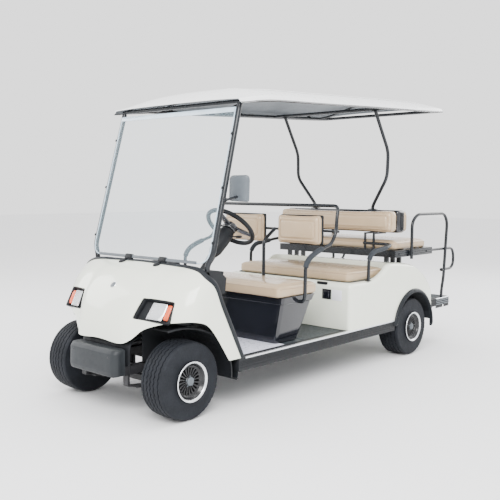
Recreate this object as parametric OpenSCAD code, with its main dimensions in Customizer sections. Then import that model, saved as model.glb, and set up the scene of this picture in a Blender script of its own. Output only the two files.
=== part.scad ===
// Six-seat golf cart: front bench, middle bench and a rear-facing bench under one long roof.
// +Z up, front towards -Y, the driver's left at +X.
// The origin is on the ground under the middle of the whole length.

/* [Overall] */
// Distance between the two axles
wheelbase = 2400; // [2200:10:2900]
// Front of the bumper ahead of the front axle
front_overhang = 300; // [290:5:400]
// Back of the rear hand loops behind the rear axle
rear_overhang = 770; // [740:5:950]
// Width over the sills and the cowl
body_w = 1200; // [1150:5:1440]
// Top of the floor above the axle centres
floor_over_axle = 76.4; // [70:0.2:100]

/* [Wheels] */
// Outer radius of a tyre
tyre_r = 228.6; // [190:0.1:275]
// Width of a tyre
tyre_w = 216; // [180:1:230]
// Radius of the rim where the tyre sits on it
bead_r = 101.6; // [95:0.1:115]
// Between the middles of the front tyres
front_track = 912; // [880:2:1000]
// Between the middles of the rear tyres
rear_track = 1028; // [1000:2:1200]
// Running clearance of every shaft in its hole, on the radius
running_gap = 0.05; // [0.02:0.01:0.1]

/* [Front axle] */
// Middle of each kingpin from the centre line
kingpin_x = 400; // [390:1:420]
// Diameter of a kingpin
kingpin_d = 20; // [16:1:26]
// Diameter of the boss around a kingpin
boss_d = 44; // [36:1:48]
// Distance from a kingpin straight back to the pin of the tie rod
arm_back = 50; // [46:1:56]

/* [Seats] */
// Front edge of the front cushion behind the front axle
front_seat_y = 775; // [740:5:820]
// Depth of the front cushion
front_seat_d = 450; // [400:5:460]
// Half of the front cushion's width less this stays inside the body width
cushion_inset = 48; // [44:1:80]
// Thickness of the seat cushions
cushion_t = 82; // [70:1:100]
// Top of the front seat base above the floor
seat_base_h = 310; // [280:5:340]
// Depth of the middle cushion
middle_seat_d = 515; // [440:5:540]
// Width of each front backrest
back_w = 400; // [340:5:440]
// Height of each front backrest
back_h = 222; // [180:2:240]
// Outer radius of the seat and grab tubes
tube_r = 12.5; // [10:0.5:15]
// Outer radius of the foam armrest pads
pad_r = 19; // [17:0.5:20]

/* [Roof and windshield] */
// Half of the roof's width
roof_hw = 622; // [580:2:760]
// Lower edge of the roof's front corner above the floor
roof_h = 1524; // [1450:2:1640]
// Height of the roof's crown over its lip
roof_crown = 85; // [50:1:100]
// Outer radius of the windshield posts
post_r = 16; // [12:0.5:19]
// Thickness of the windshield
glass_t = 5; // [3:0.5:8]

/* [Body panels] */
// Wall of the moulded body panels
wall = 5; // [3:0.5:6]
// Gap between pieces that only seat on each other
seat_gap = 0.3; // [0.2:0.05:0.4]

/* [Hidden] */
fa = front_overhang - (front_overhang + wheelbase + rear_overhang) / 2;
ra = fa + wheelbase;
hw = body_w / 2;
axle_z = tyre_r;
fz = tyre_r + floor_over_axle;
floor_t = 10;
sill_top = fz + 7;

// Ladder frame
rail_x = 200;
rail_w = 50;
rail_h = 50;
rail_z = fz - floor_t - seat_gap - rail_h;
rear_rail_z = axle_z + 96;
member_w = 40;

// Front axle and steering
beam_w = 45;
beam_h = 35;
beam_z = axle_z - 64;
boss_z0 = beam_z;
boss_z1 = beam_z + 80;
lug_t = 15;
web_t = 14;
web_gap = 5;
spindle_d = 30;
axle_tube_r = 35;
hub_reach = 45;
arm_z = boss_z1 + seat_gap;
arm_t = 13;
arm_half = 10;
pin_d = 12;
tie_r = 8;
tie_z = axle_z - 4;
steer_arch = 71;

// Cushions and seat frame
cushion_hw = hw - cushion_inset;
base_top = fz + seat_base_h;
front_back_y = fa + 1312;
front_back_t = 70;
rail_y = front_back_y + front_back_t + tube_r + seat_gap;
tube_x = hw - 20;
back_z0 = fz + 620;
deck_z = fz + 345;
body_front = ra - 880;
body_rear = ra + 345;
well_rear = ra - 305;
middle_seat_y = well_rear - 10 - middle_seat_d;

// Rear seat and backrest
rear_frame_z = fz + 491;
rear_frame_h = 55;
rear_frame_y0 = ra - 241;
rear_frame_y1 = ra + 359;
rear_cushion_y0 = ra - 205;
rear_cushion_y1 = ra + 326;
rear_cushion_t = 72;
back_low = fz + 680;
back_high = fz + 860;
shell_y0 = ra - 165;
shell_y1 = ra - 60;
bar_t = 12;

// Rear step
step_top = fz + 95;
step_h = 80;
step_hw = hw - 20;
step_y0 = body_rear + seat_gap;
step_y1 = ra + 700;

// Foot of each handrail, in a notch in the side of the step
rail_foot = [hw - 40, ra + 580];
foot_half = tube_r + seat_gap;

// Windshield plane, from its foot to its head
ws_foot = [fa + 140, fz + 548];
ws_head = [fa + 401, fz + 1535];
ws_low = hw - 55;
frame_hw = roof_hw - 57;
ws_top = frame_hw - 37;

// Steering wheel
wheel_pos = [300, fa + 580, fz + 775];
column_tilt = 43;
wheel_r = 175;
hub_low = 28;

// ---- Geometry helpers ----

function unit(v) = v / norm(v);

// Catmull-Rom curve through a list of values or points, u from 0 to the last index
function along(list, u) =
    let (n = len(list) - 1, i = min(floor(u), n - 1), t = u - i,
        a = list[max(i - 1, 0)], b = list[i], c = list[i + 1], d = list[min(i + 2, n)])
    0.5 * (2 * b + (c - a) * t + (2 * a - 5 * b + 4 * c - d) * t * t
        + (3 * b - a - 3 * c + d) * t * t * t);

// Polyline whose inner corners are eased over a length
function eased(path, ease, n = 4) = [
    path[0],
    for (i = [1:len(path) - 2])
        let (b = path[i], u = path[i - 1] - b, w = path[i + 1] - b,
            p = b + unit(u) * min(ease, norm(u) * 0.49), q = b + unit(w) * min(ease, norm(w) * 0.49))
        for (k = [0:n]) let (t = k / n) (1 - t) * (1 - t) * p + 2 * t * (1 - t) * b + t * t * q,
    path[len(path) - 1]
];

function carried(dirs, normals, i) = i == len(dirs) ? normals :
    let (v = normals[i - 1] - (normals[i - 1] * dirs[i]) * dirs[i])
    carried(dirs, concat(normals, [unit(v)]), i + 1);

// Round bar swept along a path
module swept(path, r, sides = 10) {
    n = len(path);
    dirs = [for (i = [0:n - 1]) unit(path[min(i + 1, n - 1)] - path[max(i - 1, 0)])];
    side = abs(dirs[0][2]) < 0.9 ? [0, 0, 1] : [0, 1, 0];
    normals = carried(dirs, [unit(cross(dirs[0], side))], 1);
    polyhedron(
        [for (i = [0:n - 1]) for (k = [0:sides - 1])
            let (turn = 360 * k / sides)
            path[i] + r * (cos(turn) * normals[i] + sin(turn) * cross(dirs[i], normals[i]))],
        concat(
            [[for (k = [0:sides - 1]) k]],
            [[for (k = [0:sides - 1]) n * sides - 1 - k]],
            [for (i = [0:n - 2]) for (k = [0:sides - 1])
                let (m = (k + 1) % sides) [i * sides + k, (i + 1) * sides + k, i * sides + m]],
            [for (i = [0:n - 2]) for (k = [0:sides - 1])
                let (m = (k + 1) % sides) [i * sides + m, (i + 1) * sides + k, (i + 1) * sides + m]]),
        convexity = 10);
}

// Closed sheet between a grid of outer points and its inner partner
module sheet(outer, inner) {
    m = len(outer);
    n = len(outer[0]);
    q = m * n;
    polyhedron(
        concat([for (row = outer) for (p = row) p], [for (row = inner) for (p = row) p]),
        concat(
            [for (i = [0:m - 2]) for (j = [0:n - 2]) let (a = i * n + j) each
                [[a, a + 1, a + n], [a + n, a + 1, a + n + 1],
                [q + a, q + a + n, q + a + 1], [q + a + n, q + a + n + 1, q + a + 1]]],
            [for (j = [0:n - 2]) let (b = (m - 1) * n + j) each
                [[j + 1, j, q + j], [j + 1, q + j, q + j + 1],
                [b, b + 1, q + b + 1], [b, q + b + 1, q + b]]],
            [for (i = [0:m - 2]) let (a = i * n, b = a + n - 1) each
                [[a, a + n, q + a + n], [a, q + a + n, q + a],
                [b + n, b, q + b], [b + n, q + b, q + b + n]]]),
        convexity = 10);
}

// Grid moved inwards along its own normals
function inward(grid, t) = let (m = len(grid), n = len(grid[0])) [
    for (i = [0:m - 1]) [
        for (j = [0:n - 1])
            let (di = grid[min(i + 1, m - 1)][j] - grid[max(i - 1, 0)][j],
                dj = grid[i][min(j + 1, n - 1)] - grid[i][max(j - 1, 0)])
            grid[i][j] - t * unit(cross(di, dj))
    ]
];

// Profile in Y and Z carried across X
module across(points, x0, x1) {
    translate([x0, 0, 0]) rotate([90, 0, 90]) linear_extrude(height = x1 - x0) polygon(points);
}

// Thick line in a plane, on the left of its points
function ribbon(points, t) = let (n = len(points),
    normals = [for (i = [0:n - 2]) let (d = unit(points[i + 1] - points[i])) [-d[1], d[0]]])
    concat(points, [for (i = [n - 1:-1:0])
        let (a = normals[max(i - 1, 0)], b = normals[min(i, n - 2)])
        points[i] + t * (a + b) / (1 + a * b)]);

function arc(centre, r, from, to, n = 16) =
    [for (k = [0:n]) let (a = from + (to - from) * k / n) centre + r * [cos(a), sin(a)]];

// Upright block with rounded plan corners
module pad(x0, x1, y0, y1, z0, z1, r) {
    translate([0, 0, z0]) linear_extrude(height = z1 - z0) polygon(concat(
        arc([x1 - r, y1 - r], r, 0, 90, 5), arc([x0 + r, y1 - r], r, 90, 180, 5),
        arc([x0 + r, y0 + r], r, 180, 270, 5), arc([x1 - r, y0 + r], r, 270, 360, 5)));
}

module block(x0, x1, y0, y1, z0, z1) {
    translate([x0, y0, z0]) cube([x1 - x0, y1 - y0, z1 - z0]);
}

module both_sides() {
    children();
    mirror([1, 0, 0]) children();
}

function flipped(p) = [-p[0], p[1], p[2]];
function reversed(list) = [for (i = [len(list) - 1:-1:0]) list[i]];

// ---- Running gear ----

module chassis_frame() {
    low = rail_z;
    high = rear_rail_z;
    color("dimgray") {
        both_sides() across([
            [fa - 215, low], [ra - 430, low], [ra - 340, high], [ra + 640, high],
            [ra + 640, high + rail_h], [ra - 352, high + rail_h], [ra - 442, low + rail_h],
            [fa - 215, low + rail_h]], rail_x - rail_w / 2, rail_x + rail_w / 2);
        for (y = [fa - 215, fa + 380, fa + 1230, ra - 800])
            block(-rail_x, rail_x, y, y + member_w, low, low + rail_h);
        for (y = [ra - 300, ra + 280, ra + 600])
            block(-rail_x, rail_x, y, y + member_w, high, high + rail_h);
        both_sides() for (y = [fa + 380, fa + 1230, ra - 800])
            block(rail_x, hw - 55 - seat_gap, y, y + member_w, low + 10, low + rail_h);
    }
}

module front_axle() {
    color("dimgray") difference() {
        union() {
            block(-kingpin_x, kingpin_x, fa - beam_w / 2, fa + beam_w / 2, beam_z, beam_z + beam_h);
            both_sides() translate([kingpin_x, fa, boss_z0])
                cylinder(d = boss_d, h = boss_z1 - boss_z0, $fn = 40);
        }
        both_sides() translate([kingpin_x, fa, boss_z0 - 1])
            cylinder(r = kingpin_d / 2 + running_gap, h = boss_z1 - boss_z0 + 2, $fn = 32);
    }
}

// Leaf spring in one outline: shorter leaves lie under longer ones, between a hanger at each end
module leaf_pack(y, z, half, rise, hang) {
    leaf_t = 8;
    leaf_w = 44;
    hanger_w = leaf_w - 2;
    hanger_d = 16;
    hanger_y = half - 4;
    steps = 6;
    line = [for (k = [-steps:steps]) [half * k / steps, z + rise * pow(k / steps, 2)]];
    function run(from, to, leaves) = [for (k = [from:-1:to]) line[k + steps] - [0, leaf_t * leaves]];
    translate([0, y, 0]) {
        across(concat(line, run(6, 4, 1), run(4, 2, 2), run(2, -2, 3), run(-2, -4, 2), run(-4, -6, 1)),
            rail_x - leaf_w / 2, rail_x + leaf_w / 2);
        for (s = [-1, 1])
            block(rail_x - hanger_w / 2, rail_x + hanger_w / 2,
                s * hanger_y - hanger_d / 2, s * hanger_y + hanger_d / 2, z + rise - 5, hang);
    }
}

module leaf_springs() {
    saddle_gap = 0.7;
    color("black") both_sides() {
        leaf_pack(fa, beam_z - saddle_gap, 190, 20, rail_z - seat_gap);
        leaf_pack(ra, axle_z - axle_tube_r - saddle_gap, 260, 34, rear_rail_z - seat_gap);
    }
}

module knuckle() {
    x_web = boss_d / 2 + web_gap;
    low = boss_z0 - lug_t - seat_gap;
    high = boss_z1 + seat_gap;
    color("silver") translate([kingpin_x, fa, 0]) {
        translate([0, 0, low]) cylinder(d = kingpin_d, h = high + lug_t - low, $fn = 32);
        for (z = [low, high]) {
            translate([0, 0, z]) cylinder(d = boss_d, h = lug_t, $fn = 32);
            block(0, x_web + web_t, -boss_d / 2, boss_d / 2, z, z + lug_t);
        }
        block(x_web, x_web + web_t, -boss_d / 2, boss_d / 2, low, high + lug_t);
        translate([x_web + web_t, 0, axle_z]) rotate([0, 90, 0])
            cylinder(d = spindle_d, h = front_track / 2 + hub_reach - kingpin_x - x_web - web_t, $fn = 32);
        block(-arm_half, arm_half, 0, arm_back, arm_z, arm_z + arm_t);
        translate([0, arm_back, arm_z]) cylinder(r = arm_half, h = arm_t, $fn = 24);
        translate([0, arm_back, tie_z - 12]) cylinder(d = pin_d, h = arm_z - tie_z + 13, $fn = 24);
    }
}

module knuckle_left() { knuckle(); }
module knuckle_right() { mirror([1, 0, 0]) knuckle(); }

// Rod between the two steering arms, with more room round its right pin
module tie_rod() {
    x = kingpin_x;
    y = fa + arm_back;
    eye_r = 14;
    eye_h = 2 * tie_r + 4;
    open_gap = 0.5;
    color("silver") difference() {
        union() {
            translate([-x, y, tie_z]) rotate([0, 90, 0]) cylinder(r = tie_r, h = 2 * x, $fn = 24);
            for (s = [-1, 1]) translate([s * x, y, tie_z - eye_h / 2])
                cylinder(r = eye_r, h = eye_h, $fn = 32);
        }
        translate([x, y, tie_z - eye_h]) cylinder(r = pin_d / 2 + running_gap, h = 2 * eye_h, $fn = 32);
        translate([-x, y, tie_z - eye_h]) cylinder(r = pin_d / 2 + open_gap, h = 2 * eye_h, $fn = 32);
    }
}

module rear_axle() {
    hub_end = rear_track / 2 + hub_reach;
    tube_end = hub_end - 110;
    housing_r = 85;
    motor_r = 70;
    color("dimgray") {
        translate([-tube_end, ra, axle_z]) rotate([0, 90, 0])
            cylinder(r = axle_tube_r, h = 2 * tube_end, $fn = 40);
        translate([-hub_end, ra, axle_z]) rotate([0, 90, 0])
            cylinder(d = spindle_d, h = 2 * hub_end, $fn = 32);
        translate([-75, ra, axle_z]) rotate([0, 90, 0]) cylinder(r = housing_r, h = 130, $fn = 48);
        block(55, 165, ra - 240, ra - 30, axle_z - motor_r, axle_z + motor_r);
    }
}

module battery_pack() {
    color("darkslategray") block(-370, 370, body_front + 60, ra - 462, fz + seat_gap, fz + 290);
}

// Tyre with its tread faces along X, centred on its own axle
module tyre(x, y) {
    half = tyre_w / 2;
    shoulder = 34;
    color("#26282a") translate([x, y, axle_z]) rotate([0, 90, 0]) rotate_extrude($fn = 96)
        polygon(concat(
            [[bead_r, -half + 18], [bead_r, half - 18], [bead_r + 14, half - 6]],
            [[tyre_r - 60, half]],
            arc([tyre_r - shoulder - 4, half - shoulder], shoulder, 90, 15, 5),
            [[tyre_r, 0]],
            arc([tyre_r - shoulder - 4, shoulder - half], shoulder, -15, -90, 5),
            [[tyre_r - 60, -half], [bead_r + 14, 6 - half]]));
}

module tyre_front_left() { tyre(front_track / 2, fa); }
module tyre_front_right() { tyre(-front_track / 2, fa); }
module tyre_rear_left() { tyre(rear_track / 2, ra); }
module tyre_rear_right() { tyre(-rear_track / 2, ra); }

// Rim with its dished face towards +X, its hub bored for the spindle
module rim(x, y) {
    half = tyre_w / 2;
    barrel = 5;
    color("#1b1c1e") translate([x, y, axle_z]) rotate([0, 90, 0]) difference() {
        rotate_extrude($fn = 64) polygon([
            [bead_r - barrel, 18 - half], [bead_r, 18 - half], [bead_r, half - 18], [bead_r + 14, half - 6],
            [bead_r + 17, half], [bead_r + 13, half + 2], [bead_r - barrel, half - 22],
            [30, half - 34], [30, half - 22], [0, half - 22], [0, 6], [34, 6], [34, half - 58],
            [bead_r - barrel, half - 30]]);
        cylinder(r = spindle_d / 2 + running_gap, h = hub_reach + seat_gap, $fn = 32);
    }
}

module rim_front_left() { rim(front_track / 2, fa); }
module rim_front_right() { mirror([1, 0, 0]) rim(front_track / 2, fa); }
module rim_rear_left() { rim(rear_track / 2, ra); }
module rim_rear_right() { mirror([1, 0, 0]) rim(rear_track / 2, ra); }

// ---- Floor and front body ----

// Toe board from the floor up to the dashboard, as [distance behind the front axle, height over the floor]
toe_line = [[1400, -floor_t], [345, -floor_t], [290, 82], [215, 225], [165, 345], [140, 470]];
toe_t = 4;

module floor_pan() {
    line = [for (p = toe_line) [fa + p[0], fz + p[1]]];
    rear_y = ra - 442;
    color("#3a3d40") {
        across(ribbon(concat([[rear_y, fz - floor_t]], [for (i = [1:len(line) - 1]) line[i]]), -toe_t),
            55 + seat_gap - hw, hw - 55 - seat_gap);
        block(55 + seat_gap - hw, hw - 55 - seat_gap, fa + 345, rear_y, fz - floor_t, fz);
    }
}

module side_sills() {
    z1 = sill_top;
    z0 = z1 - 81;
    t = 4;
    color("#202224") both_sides() difference() {
        block(hw - 55, hw, fa + 345, ra - 262, z0, z1);
        block(hw - 56, hw - t, fa + 346, ra - 263, z0 + t, fz - floor_t - 4);
    }
}

// Cowl stations across one half: rear edge, two shaping points and lower edge, as [x short of the side,
// distance behind the front axle, height over the floor]
foot_z = sill_top + seat_gap - fz;
cowl_half = [
    [[hw, 100, 566], [hw, -60, 525], [hw, -220, 415], [hw, -235, 135]],
    [[415, 100, 563], [410, -58, 521], [405, -212, 400], [415, -230, 125]],
    [[300, 100, 560], [300, -45, 510], [330, -180, 395], [350, -200, 150]],
    [[200, 100, 557], [195, -20, 505], [220, -150, 415], [270, -165, 215]],
    [[100, 100, 544], [95, 20, 490], [110, -80, 435], [150, -120, 255]],
    [[35, 98, 510], [25, 50, 465], [20, -10, 395], [40, -50, 270]],
    [[4, 145, 455], [-2, 100, 415], [-2, 50, 345], [12, 20, 262]],
    [[0, 198, 339], [-3, 165, 315], [-2, 120, 275], [10, 90, 235]],
    [[0, 258, 224], [-2, 230, 210], [0, 190, 185], [8, 160, 160]],
    [[0, 370, foot_z], [-1, 335, foot_z], [0, 300, foot_z], [3, 264, foot_z]]
];

function cowl_place(p, side) = [side * (hw - p[0]), fa + p[1], fz + p[2]];
cowl_stations = concat(
    [for (i = [len(cowl_half) - 1:-1:1]) [for (p = cowl_half[i]) cowl_place(p, -1)]],
    [for (row = cowl_half) [for (p = row) cowl_place(p, 1)]]);
cowl_n = len(cowl_stations) - 1;

function bezier(a, b, c, d, t) =
    pow(1 - t, 3) * a + 3 * pow(1 - t, 2) * t * b + 3 * (1 - t) * t * t * c + pow(t, 3) * d;

function cowl_point(u, t) = bezier(
    along([for (s = cowl_stations) s[0]], u), along([for (s = cowl_stations) s[1]], u),
    along([for (s = cowl_stations) s[2]], u), along([for (s = cowl_stations) s[3]], u), t);

cowl_grid = [for (t = [0:0.125:1]) [for (i = [0:2 * cowl_n]) cowl_point(i / 2, t)]];

// Corners of the left headlight on the cowl
lamp_corners = [
    [hw - 323, fa - 116, fz + 384], [hw - 112, fa - 62, fz + 375],
    [hw - 109, fa - 128, fz + 260], [hw - 355, fa - 176, fz + 268]
];

module lamp_block(grow, front, back) {
    mid = (lamp_corners[0] + lamp_corners[1] + lamp_corners[2] + lamp_corners[3]) / 4;
    face = [for (p = lamp_corners) let (d = p - mid, s = norm([d[0], d[2]]))
        [p[0] + grow * d[0] / s, p[1], p[2] + grow * d[2] / s]];
    polyhedron(
        concat([for (p = face) p + [0, front, 0]], [for (p = face) p + [0, back, 0]]),
        [[0, 1, 2], [0, 2, 3], [4, 6, 5], [4, 7, 6], [0, 4, 5], [0, 5, 1], [1, 5, 6], [1, 6, 2],
        [2, 6, 7], [2, 7, 3], [3, 7, 4], [3, 4, 0]]);
}

module front_cowl() {
    color("ivory") difference() {
        sheet(cowl_grid, inward(cowl_grid, wall));
        both_sides() lamp_block(0.6, -80, 90);
    }
}

module cowl_trim() {
    edge = [for (i = [0:2 * cowl_n]) cowl_point(i / 2, 0)];
    n = len(edge);
    wide = 24;
    deep = 9;
    rings = [for (i = [0:n - 1])
        let (run = unit(edge[min(i + 1, n - 1)] - edge[max(i - 1, 0)]),
            back = unit(edge[i] - cowl_point(i / 2, 0.125)),
            out = unit(cross(back, run)),
            p = edge[i] + 3 * seat_gap * back)
        [p + 2 * out, p + wide * back + 2 * out, p + wide * back - deep * out, p - deep * out]];
    color("#2b2d2f") polyhedron(
        [for (ring = rings) for (p = ring) p],
        concat(
            [[0, 1, 2, 3]], [[4 * n - 1, 4 * n - 2, 4 * n - 3, 4 * n - 4]],
            [for (i = [0:n - 2]) for (k = [0:3]) let (m = (k + 1) % 4, a = 4 * i) each
                [[a + k, a + 4 + k, a + m], [a + m, a + 4 + k, a + 4 + m]]]),
        convexity = 10);
}

module front_bumper() {
    x = 225;
    z0 = fz - 65;
    z1 = fz + 95;
    y0 = fa - front_overhang;
    back = y0 + 84.5;
    color("#303234") difference() {
        pad(-x, x, y0, y0 + 140, z0, z1, 38);
        block(8 - x, x - 8, y0 + 10, y0 + 150, z0 + 8, z1 - 8);
        block(-x - 1, x + 1, back, y0 + 150, z0 - 1, z1 + 1);
    }
}

module lamps() {
    color("whitesmoke") both_sides() lamp_block(0, -3, 60);
    color("firebrick") both_sides() translate([430, body_rear + seat_gap, step_top + 58])
        rotate([-90, 0, 0]) cylinder(r = 36, h = 16, $fn = 40);
}

// Wheel housings over the steered wheels, with splash flaps behind them
module wheel_tubs() {
    r = tyre_r + steer_arch;
    t = 4;
    x0 = rail_x + rail_w / 2 + 6;
    x1 = hw - 14.5;
    line = concat([[fa + r + 52, axle_z - 42]], arc([fa, axle_z], r, -6, 108, 18));
    color("#17181a") both_sides() {
        across(ribbon(line, -t), x0, x1);
        across(concat(arc([fa, axle_z], r + t / 2, 14, 108, 14),
            [[fa - 96, fz + 6], [fa + r - 10, fz + 6]]), x0, x0 + t);
        block(x0, x0 + t, fa + 205, fa + 275, rail_z + 10, fz + 30);
        block(rail_x + rail_w / 2 + seat_gap, x0 + t, fa + 205, fa + 275, rail_z + 12, rail_z + rail_h - 8);
    }
}

module dashboard() {
    face = [[fa + 240, fz + 536], [fa + 300, fz + 490], [fa + 290, fz + 400]];
    line = concat([[fa + 125.2, fz + 540]], face, [[fa + 162.1, fz + 382]]);
    color("#232527") difference() {
        union() {
            across(ribbon(line, -wall), -535, 535);
            for (s = [-1, 1]) across(concat([[fa + 150, fz + 539]], face, [[fa + 215, fz + 388]]),
                s * 532.5 - 2.5, s * 532.5 + 2.5);
        }
        column_bar(24 + seat_gap, 0, 500);
    }
}

// Point on the sloping toe board, up its slope by a share and out from its cabin face
function toe(share, out) =
    let (a = toe_line[2], b = toe_line[3], d = unit(b - a),
        p = a + share * (b - a) + (out + toe_t) * [d[1], -d[0]])
    [fa + p[0], fz + p[1]];

module pedals() {
    color("#2a2c2e") for (x = [170, 330])
        across([toe(0.3, seat_gap), toe(0.5, seat_gap), toe(0.5, 50), toe(0.85, 62),
            toe(0.85, 72), toe(0.05, 54), toe(0.05, 44), toe(0.3, 48)], x - 35, x + 35);
}

// Bar on the steering axis, measured down the column from the middle of the steering wheel
module column_bar(r, from, to) {
    translate(wheel_pos) rotate([180 - column_tilt, 0, 0]) translate([0, 0, from])
        cylinder(r = r, h = to - from, $fn = 32);
}

module steering_column() {
    color("#1d1e20") column_bar(24, hub_low + seat_gap, 470);
}

module steering_wheel() {
    color("#1d1e20") translate(wheel_pos) rotate([180 - column_tilt, 0, 0]) {
        rotate_extrude($fn = 64) translate([wheel_r - 14, 0]) circle(r = 13, $fn = 20);
        translate([0, 0, hub_low - 50]) cylinder(r = 48, h = 50, $fn = 40);
        for (a = [90, 210, 330]) rotate([0, 0, a]) translate([0, -18, -8]) cube([wheel_r - 12, 36, 14]);
    }
}

// ---- Windshield, roof and mirror ----

function ws_at(z) = let (k = (z - ws_foot[1]) / (ws_head[1] - ws_foot[1]))
    [ws_low + (ws_top - ws_low) * k, ws_foot[0] + (ws_head[0] - ws_foot[0]) * k, z];

module windshield_frame() {
    foot = ws_at(fz + 640) + [14, 0, 0];
    head_z = roof_edge(ws_head[0]) + frame_rise - tube_r - 1;
    head = [ws_top + 14, ws_head[0], head_z];
    start = [hw - 78, ws_foot[0] + 12, fz + 540 + seat_gap];
    color("#1c1e20") both_sides() swept(eased([start, start + [0, 0, 30], foot, head], 28), post_r, 12);
}

module windshield_glass() {
    tilt = atan((ws_head[0] - ws_foot[0]) / (ws_head[1] - ws_foot[1]));
    low = fz + 574;
    high = fz + 1500;
    len_z = (high - low) / cos(tilt);
    r = 90;
    out = post_r + glass_t / 2 - 1.4;
    color("lightcyan", 0.35) translate([0, ws_at(low)[1], low]) rotate([90 - tilt, 0, 0])
        translate([0, 0, out - glass_t / 2]) linear_extrude(height = glass_t)
        polygon(concat([[ws_top + 6, len_z], [-ws_top - 6, len_z]],
            arc([r - ws_low - 4, r], r, 180, 270, 6), arc([ws_low + 4 - r, r], r, 270, 360, 6)));
}

module side_mirror() {
    z = fz + 955;
    at = ws_at(z);
    x = at[0];
    start = [x + 14 + post_r + seat_gap, at[1] + 1, z];
    back = start[1] + 112;
    color("#3c4043") {
        swept(eased([start, start + [16, 0, 0], [start[0] + 24, back, z + 24]], 12), 8, 8);
        translate([0, back, 0]) rotate([90, 0, 0]) linear_extrude(height = 34)
            polygon(concat(arc([x + 92, z + 110], 35, 0, 90, 5), arc([x + 7, z + 120], 25, 90, 180, 5),
                arc([x - 8, z + 5], 15, 180, 270, 4), arc([x + 107, z], 15, 270, 360, 4)));
    }
}

// Roof stations along its length, as [distance behind the front axle, lower edge over the front corner,
// share of full crown, half width short of the widest]
roof_rows = [
    [352, 0, 0.10, 24], [400, 5, 0.42, 10], [520, 24, 0.78, 2], [700, 40, 0.95, 0], [1182, 63, 1, 0],
    [1769, 94, 1, 0], [2400, 124, 1, 0], [2700, 140, 0.92, 1], [2810, 147, 0.62, 6], [2860, 150, 0.2, 18]
];
roof_n = len(roof_rows) - 1;
roof_lip = 30;
roof_start = roof_rows[0][0];
roof_stretch = (wheelbase + 460 - roof_start) / (roof_rows[roof_n][0] - roof_start);

function roof_row(u) = let (r = along(roof_rows, u))
    [fa + roof_start + (r[0] - roof_start) * roof_stretch, fz + roof_h + r[1], r[2], roof_hw - r[3]];

// Across the roof: -1 and 1 are the lower edges, the lip lies between them and the crown
function roof_point(u, s) =
    let (r = roof_row(u), k = min(abs(s) / 0.9, 1), side = s < 0 ? -1 : 1, on_lip = abs(s) > 0.9,
        x = on_lip ? r[3] * (0.97 + 0.03 * (abs(s) - 0.9) / 0.1) : r[3] * k * (1 - 0.03 * pow(k, 8)),
        z = on_lip ? r[1] + roof_lip * (1 - abs(s)) / 0.1
            : r[1] + roof_lip + roof_crown * r[2] * (1 - pow(k, 3.2)))
    [side * x, r[0], z];

roof_grid = [for (i = [0:2 * roof_n]) [for (s = [1:-0.1:-1.001]) roof_point(i / 2, s)]];

module roof_panel() {
    color("white") sheet(roof_grid, [for (row = roof_grid) [for (p = row)
        [p[0] * (1 - wall / roof_hw), p[1], p[2] - (abs(p[0]) < roof_hw * 0.95 ? wall : 0)]]]);
}

function roof_edge(y) = let (k = [for (i = [0:roof_n - 1]) if (roof_row(i)[0] <= y) i], i = k[len(k) - 1],
    a = roof_row(i), b = roof_row(i + 1)) a[1] + (b[1] - a[1]) * (y - a[0]) / (b[0] - a[0]);

post_top_y = ra - 349;
frame_rise = 12;

// Underside of the roof beside a station
function roof_under(row, x) = let (k = x / (row[3] * (1 - 0.03 * pow(x / row[3], 8))))
    row[1] + roof_lip + roof_crown * row[2] * (1 - pow(k, 3.2)) - wall;

module roof_frame() {
    ys = [ws_head[0], ws_head[0] + 300, ws_head[0] + 900, post_top_y, ra + 300, ra + 424];
    side = [for (y = ys) [y > ra + 350 ? frame_hw - 41 : frame_hw, y, roof_edge(y) + frame_rise]];
    half = eased(concat([[-2, ys[0], side[0][2]]], side, [[-2, ys[5], side[5][2]]]), 30, 3);
    color("#1c1e20") {
        both_sides() {
            swept(half, tube_r);
            for (i = [3, 4, 5, 6]) let (row = roof_row(i))
                translate([frame_hw - 10, row[0], row[1] + frame_rise])
                cylinder(r = 8, h = roof_under(row, frame_hw) - row[1] - frame_rise - 1.3, $fn = 16);
        }
        swept([[-frame_hw, post_top_y, side[3][2]], [frame_hw, post_top_y, side[3][2]]], tube_r);
    }
}

module rear_roof_posts() {
    top = roof_edge(post_top_y) + frame_rise - tube_r - 2.8;
    path = eased([[288, ra - 112, back_high + seat_gap], [288, ra - 112, back_high + 30],
        [447, ra - 160, fz + 1121], [452, ra - 158, fz + 1326], [447, post_top_y, top]], 55);
    color("#1c1e20") both_sides() swept(path, tube_r + 1);
}

// ---- Front bench ----

module frustum(bottom, top, z0, z1) {
    polyhedron(
        [for (level = [[bottom, z0], [top, z1]]) let (b = level[0], z = level[1]) each
            [[-b[0], b[1], z], [b[0], b[1], z], [b[0], b[2], z], [-b[0], b[2], z]]],
        [[0, 1, 2, 3], [7, 6, 5, 4], [0, 4, 5, 1], [1, 5, 6, 2], [2, 6, 7, 3], [3, 7, 4, 0]]);
}

base_y = [fa + front_seat_y + 45, fa + front_seat_y + 275, fa + front_seat_y + 75, fa + front_seat_y + 415];

module front_seat_base() {
    low = fz + seat_gap;
    color("#141619") difference() {
        frustum([hw - 115, base_y[0], base_y[1]], [hw - 78, base_y[2], base_y[3]], low, base_top);
        frustum([hw - 115 - wall, base_y[0] + wall, base_y[1] - wall],
            [hw - 78 - wall, base_y[2] + wall, base_y[3] - wall], low + wall, base_top + 1);
    }
}

module front_seat_cushion() {
    color("wheat") pad(-cushion_hw, cushion_hw, fa + front_seat_y, fa + front_seat_y + front_seat_d,
        base_top + seat_gap, base_top + seat_gap + cushion_t, 45);
}

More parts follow.
